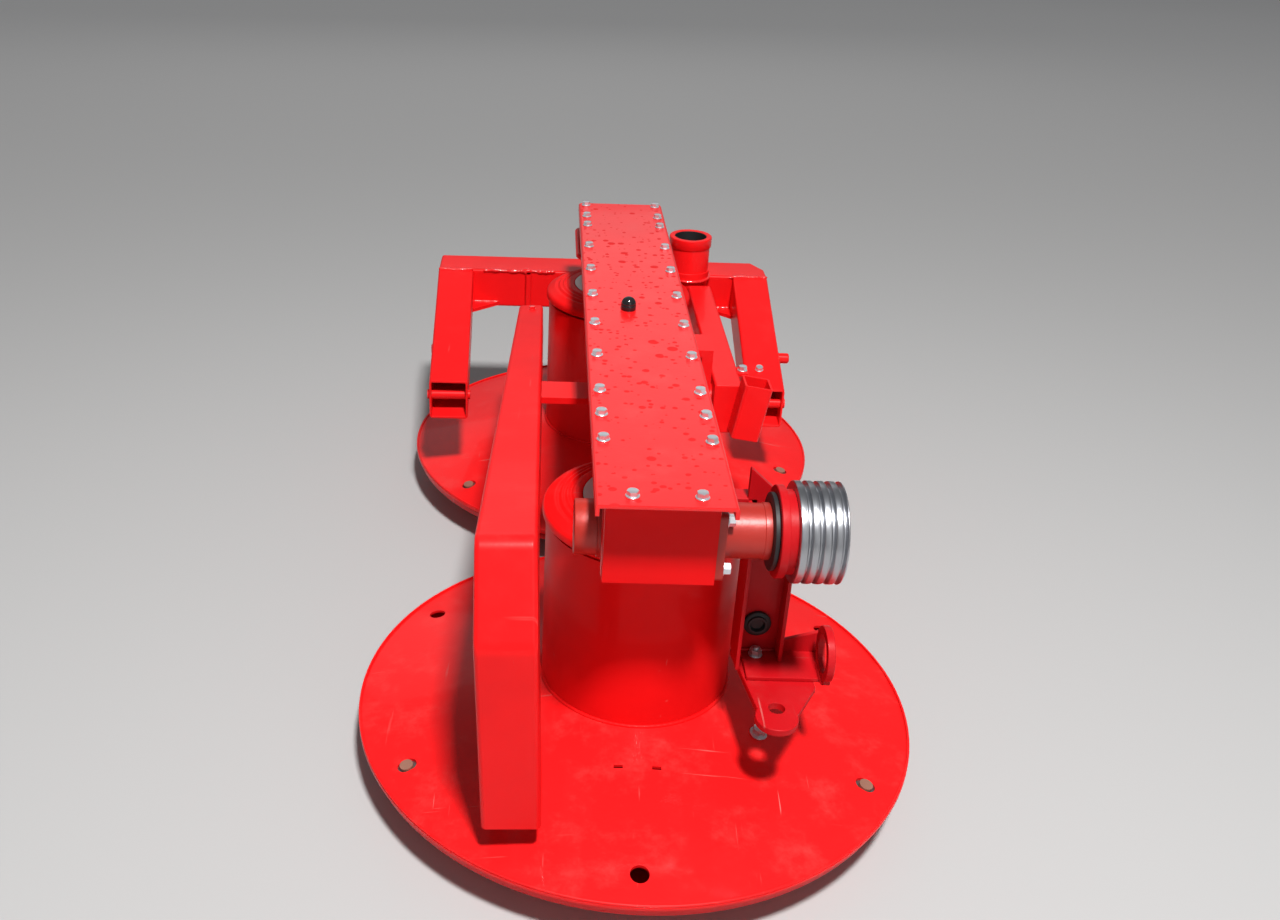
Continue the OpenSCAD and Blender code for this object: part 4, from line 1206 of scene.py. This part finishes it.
@dataclass
class HitchFrame(Assembly):
    """The hitch frame: crossbeam, two open legs, pivot sleeve, link pins and gussets."""

    body: str = "hitch_frame"
    pivot: Pair = (152.0, 591.5)
    sleeve_r: float = 40.0
    back_y: float = 680.5
    cut_at: Pair = (294.0, 638.5)
    beam_z: Pair = (291.0, 370.0)
    leg_w: float = 71.0
    leg_h: float = 76.0
    leg_z: float = 240.0
    leg_wall: float = 4.0
    leg_y: Pair = (232.5, 590.5)
    toe: float = 0.030553
    rise: float = 0.25698
    outer_x: Pair = (-360.0, 316.0)
    tie_at: Pair = (249.0, 244.24)
    tie_r: float = 9.0
    tie_out: float = 4.0
    post_at: Pair = (-175, 584.5)
    post_z: Pair = (294, 366)
    post_r: float = 6.0
    pin_at: tuple[Point, Point] = ((322.639, 382.103, 278.548), (-366.639, 382.103, 278.548))
    pin_turn: Pair = (0.9995336, -0.0305385)
    pin_out: Pair = (13.0, -9.0)
    pin_r: float = 10.0
    pin_cut: float = 2.2
    bolt_at: Point = (264, 290, 292.8)

    def build(self) -> None:
        """Builds the crossbeam with the round post on its front, and every other piece of the frame."""
        (x0, x1), y, back, (x2, y2) = self.outer_x, self.leg_y[1], self.back_y, self.cut_at
        self.dress(self.palette.paint, "hitch_gussets")
        plan = rounded([[x0, y], [x1, y], [x1, y2], [x2, back], [x0, back]], 5.6)
        beam = slab(Axis.Z, *self.beam_z, [plan, circle(self.pivot, self.sleeve_r, 64)], (5.0, 0.5), 6)
        post = np.linspace([*self.post_at, self.post_z[0]], [*self.post_at, self.post_z[1]], 4)
        beam.join(swept(post, self.post_r, 16))
        self.piece("cross_tube", beam, self.palette.paint, "hitch_crossbeam")
        self.leg("hitch_left_leg", "left_leg_tube", x0, -1)
        self.leg("hitch_right_leg", "right_leg_tube", x1, 1)
        self.sleeve()
        self.pins()
        self.welds()

    def leg(self, node: str, name: str, face_x: float, side: int) -> None:
        """Open box tube carried along Y and sheared, so that it toes in and rises, with a tie rod across its mouth.

        Args:
            node: the CAD node it stands for.
            name: the piece's name.
            face_x: x of its outer face at the crossbeam.
            side: 1 for the right leg, -1 for the left.
        """
        (y0, y1), w, h, t, mid = self.leg_y, self.leg_w, self.leg_h, self.leg_wall, self.leg_z
        lo, hi = sorted((face_x, face_x - side * w))
        inner = rect(lo + t, mid - h / 2 + t, hi - t, mid + h / 2 - t, 2.5, 4)
        tube = slab(Axis.Y, y0, y1, [rect(lo, mid - h / 2, hi, mid + h / 2, 6, 5), inner], 0.7)
        k, (y, z), out = side * self.toe, self.tie_at, self.tie_out
        tube = tube.moved(np.array([[1, k, 0], [0, 1, 0], [0, self.rise, 1]]), (-k * y1, 0, -self.rise * y0))
        shift, skew = k * (y - y1), k * (w / 2 + out)
        tie = np.linspace([lo - out + shift, y + skew, z], [hi + out + shift, y - skew, z], 6)
        tube.join(swept(tie, self.tie_r, 24))
        self.piece(name, tube, self.palette.paint, node)

    def sleeve(self) -> None:
        """Upright pivot sleeve with a collar at its top and one above the crossbeam, and a black sheet in its bore
        that is painted shade.
        """
        at = (*self.pivot, 0)
        sleeve = [[32, 276.3], [39.2, 276.3], [40, 277], [40, 370.5], [41.8, 370.5], [42.5, 371.2], [42.5, 384.8],
                  [41.8, 385.5], [40, 385.5], [40, 434], [41.8, 434], [42.5, 434.8], [42.5, 452.8], [41.3, 454],
                  [33, 454], [32, 453], [32, 276.3]]
        self.piece("pivot_tube", turned(sleeve, 96, Axis.Z, at), self.palette.paint, "pivot_sleeve", flat=False)
        # Black sheet on the bore's wall and a black disc over its floor: painted shade inside the sleeve.
        bore_shade_wall = [[31.0, 405.5], [32.2, 405.5], [32.2, 452.6], [31.6, 453.2], [31.0, 452.8], [31.0, 405.5]]
        bottom = turned([[0, 404], [31.5, 404], [31.5, 406], [0, 406]], 64, Axis.Z, at)
        self.piece("pivot_bore_painted_shade", turned(bore_shade_wall, 64, Axis.Z, at).join(bottom), self.palette.rubber, flat=False)

    def pins(self) -> None:
        """Link pins with chamfered ends, square to the toed-in legs, and the small bolt on the right leg."""
        shell, (across, back), r, cut = Shell(), self.pin_turn, self.pin_r, self.pin_cut
        for side, at, out in zip((1, -1), self.pin_at, self.pin_out):
            pin = turned([[0, -15], [r, -15], [r, out - cut], [r - cut, out], [0, out]], 40)
            shell.join(pin.moved(along((side * across, back, 0))), at)
        bolt = HexBolt(across=12, head=6, washer_r=7.5, washer_t=1.4).shell(0.5).moved(along((0, -self.rise, 1)))
        self.piece("leg_bolt", Shell().join(bolt, self.bolt_at), self.palette.zinc, flat=False)
        self.piece("link_pins", shell, self.palette.paint, "hitch_pins", flat=False)

    def welds(self) -> None:
        """Beads round the sleeve, over the legs' ends, along the gussets and the long run on the crossbeam's edge."""
        top, edge, w, (x0, x1) = self.beam_z[1], self.leg_y[1], self.leg_w, self.outer_x
        shell = ring_bead((*self.pivot, top + 0.4), self.sleeve_r + 3.5, 3.0, Axis.Z, 9)
        shell.join(bead((-268, edge, top - 1.5), (-120, edge, top - 1.0), 3.4, 12, 0.2))
        shell.join(bead((238, edge, top - 1.5), (252, edge, top - 1.5), 3.4, 4, 0.2))
        y, z = edge - 0.7, top - 0.4
        for x in (x0, x1 - w):
            shell.join(bead((x, y, z), (x + w, y, z), 3.0, int(abs(x)), 0.2))
        for x, run in ((x0 + w, 54), (x1 - w, -54)):
            shell.join(bead((x, 590, 301.5), (x + run, 590, 301.5), 2.4, 21, 0.1))
        self.piece("frame_welds", shell, self.palette.weld, flat=False)


@dataclass(frozen=True)
class Lamp:
    """One soft area light: its place in metres, its width and height and its power in watts."""

    name: str
    place: Point
    wide: float
    tall: float
    power: float


@dataclass
class Studio:
    """Floor, lights and camera; the frame is the photograph's."""

    floor_half: float = 40.0
    floor_near: Point = (0.45, 0.445, 0.44)
    # The far floor's paler tone is painted light.
    floor_far_painted_light: Point = (0.90, 0.89, 0.88)
    fade: Pair = (1.5, 9.0)
    sky: Point = (0.95, 0.97, 1.0)
    sky_strength: float = 0.17
    aim: Point = (0.0, -0.1, 0.3)
    lamps: tuple[Lamp, ...] = (Lamp("key", (0.38, -2.35, 4.4), 0.45, 0.45, 325.0),
                               Lamp("fill", (1.5, -4.0, 1.7), 2.5, 2.5, 13.0),
                               Lamp("back", (-0.3, 5.0, 2.9), 5.0, 2.0, 17.0))
    eye: Point = (-0.1425, -1.8471, 1.2139)
    pitch: float = math.radians(27.74)
    roll: float = math.radians(-1.7)
    yaw: float = math.radians(0.4)
    frame_px: float = 1280
    focal_px: float = 1240.4
    centre_px: float = 547.2

    def build(self) -> None:
        """Builds all three."""
        self.floor()
        self.lights()
        self.camera()
        bpy.context.scene.view_settings.view_transform = "Standard"

    def place(self, name: str, data: bpy.types.ID) -> bpy.types.Object:
        """Puts an object into the scene.

        Args:
            name: the object's name.
            data: its mesh, light or camera.

        Returns:
            The new object.
        """
        obj = bpy.data.objects.new(name, data)
        bpy.context.scene.collection.objects.link(obj)
        return obj

    def floor(self) -> None:
        """A plain pale floor, paler with its distance from the middle; the paleness far off is painted light that
        stands in for a lamp on the far floor.
        """
        mesh, s = bpy.data.meshes.new("floor"), self.floor_half
        mesh.from_pydata([(-s, -s, 0), (s, -s, 0), (s, s, 0), (-s, s, 0)], [], [(0, 1, 2, 3)])
        mat = bpy.data.materials.new("pale_floor")
        mat.use_nodes = True
        g = Graph(mat.node_tree)
        place = g.add("TexCoord").outputs["Object"]
        away = g.feed(g.add("VectorMath", operation="LENGTH"), _0=place).outputs["Value"]
        tone = g.mix(g.ramp(away, *self.fade), (*self.floor_near, 1), (*self.floor_far_painted_light, 1))
        g.feed(mat.node_tree.nodes["Principled BSDF"], Base_Color=tone, Roughness=0.9)
        mesh.materials.append(mat)
        self.place("floor", mesh)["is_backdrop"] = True

    def lights(self) -> None:
        """A key from high on the front right, a wide fill, a low back light and a pale world."""
        world = bpy.data.worlds.new("pale_world")
        bpy.context.scene.world = world
        world.use_nodes = True
        sky = world.node_tree.nodes["Background"]
        Graph(world.node_tree).feed(sky, Color=(*self.sky, 1), Strength=self.sky_strength)
        for lamp in self.lamps:
            light = bpy.data.lights.new(lamp.name, "AREA")
            light.shape, light.size, light.size_y, light.energy = "RECTANGLE", lamp.wide, lamp.tall, lamp.power
            obj = self.place(lamp.name, light)
            obj.location = lamp.place
            obj.rotation_mode = "QUATERNION"
            obj.rotation_quaternion = (Vector(lamp.place) - Vector(self.aim)).to_track_quat("Z", "Y")

    def camera(self) -> None:
        """The photograph's camera: place, aim, focal length and frame shift from the disc rims and beam edges."""
        pitch, roll, yaw = self.pitch, self.roll, self.yaw
        ahead = np.array([math.sin(yaw) * math.cos(pitch), math.cos(yaw) * math.cos(pitch), -math.sin(pitch)])
        level = np.array([math.cos(yaw), -math.sin(yaw), 0.0])
        below = np.cross(ahead, level)
        right = level * math.cos(roll) + below * math.sin(roll)
        down = -level * math.sin(roll) + below * math.cos(roll)
        cam = bpy.data.cameras.new("camera")
        cam.sensor_width = 36.0
        cam.lens = cam.sensor_width * self.focal_px / self.frame_px
        cam.shift_x = (self.frame_px / 2 - self.centre_px) / self.frame_px
        obj = self.place("camera", cam)
        obj.matrix_world = Matrix(np.column_stack([right, -down, -ahead, self.eye]).tolist() + [[0, 0, 0, 1]])
        bpy.context.scene.camera = obj


def main() -> tuple[list[float], list[float]]:
    """Builds every sub-assembly in order.

    Returns:
        The CAD model's box, low and high corner.
    """
    logging.basicConfig(level=logging.INFO, format="%(message)s")
    low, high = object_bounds()
    palette = Palette()
    near, far = Drum(palette), Drum(palette, side="far", y=412.5, angle=98.5)
    for part in (GearBeam(palette), InputDrive(palette), near, far, BeltGuard(palette), HangerGear(palette),
                 LiftArm(palette), HitchFrame(palette)):
        part.build()
        log.info("%s done", type(part).__name__)
    Studio().build()
    return list(low), list(high)


if __name__ == "__main__":
    cad = main()
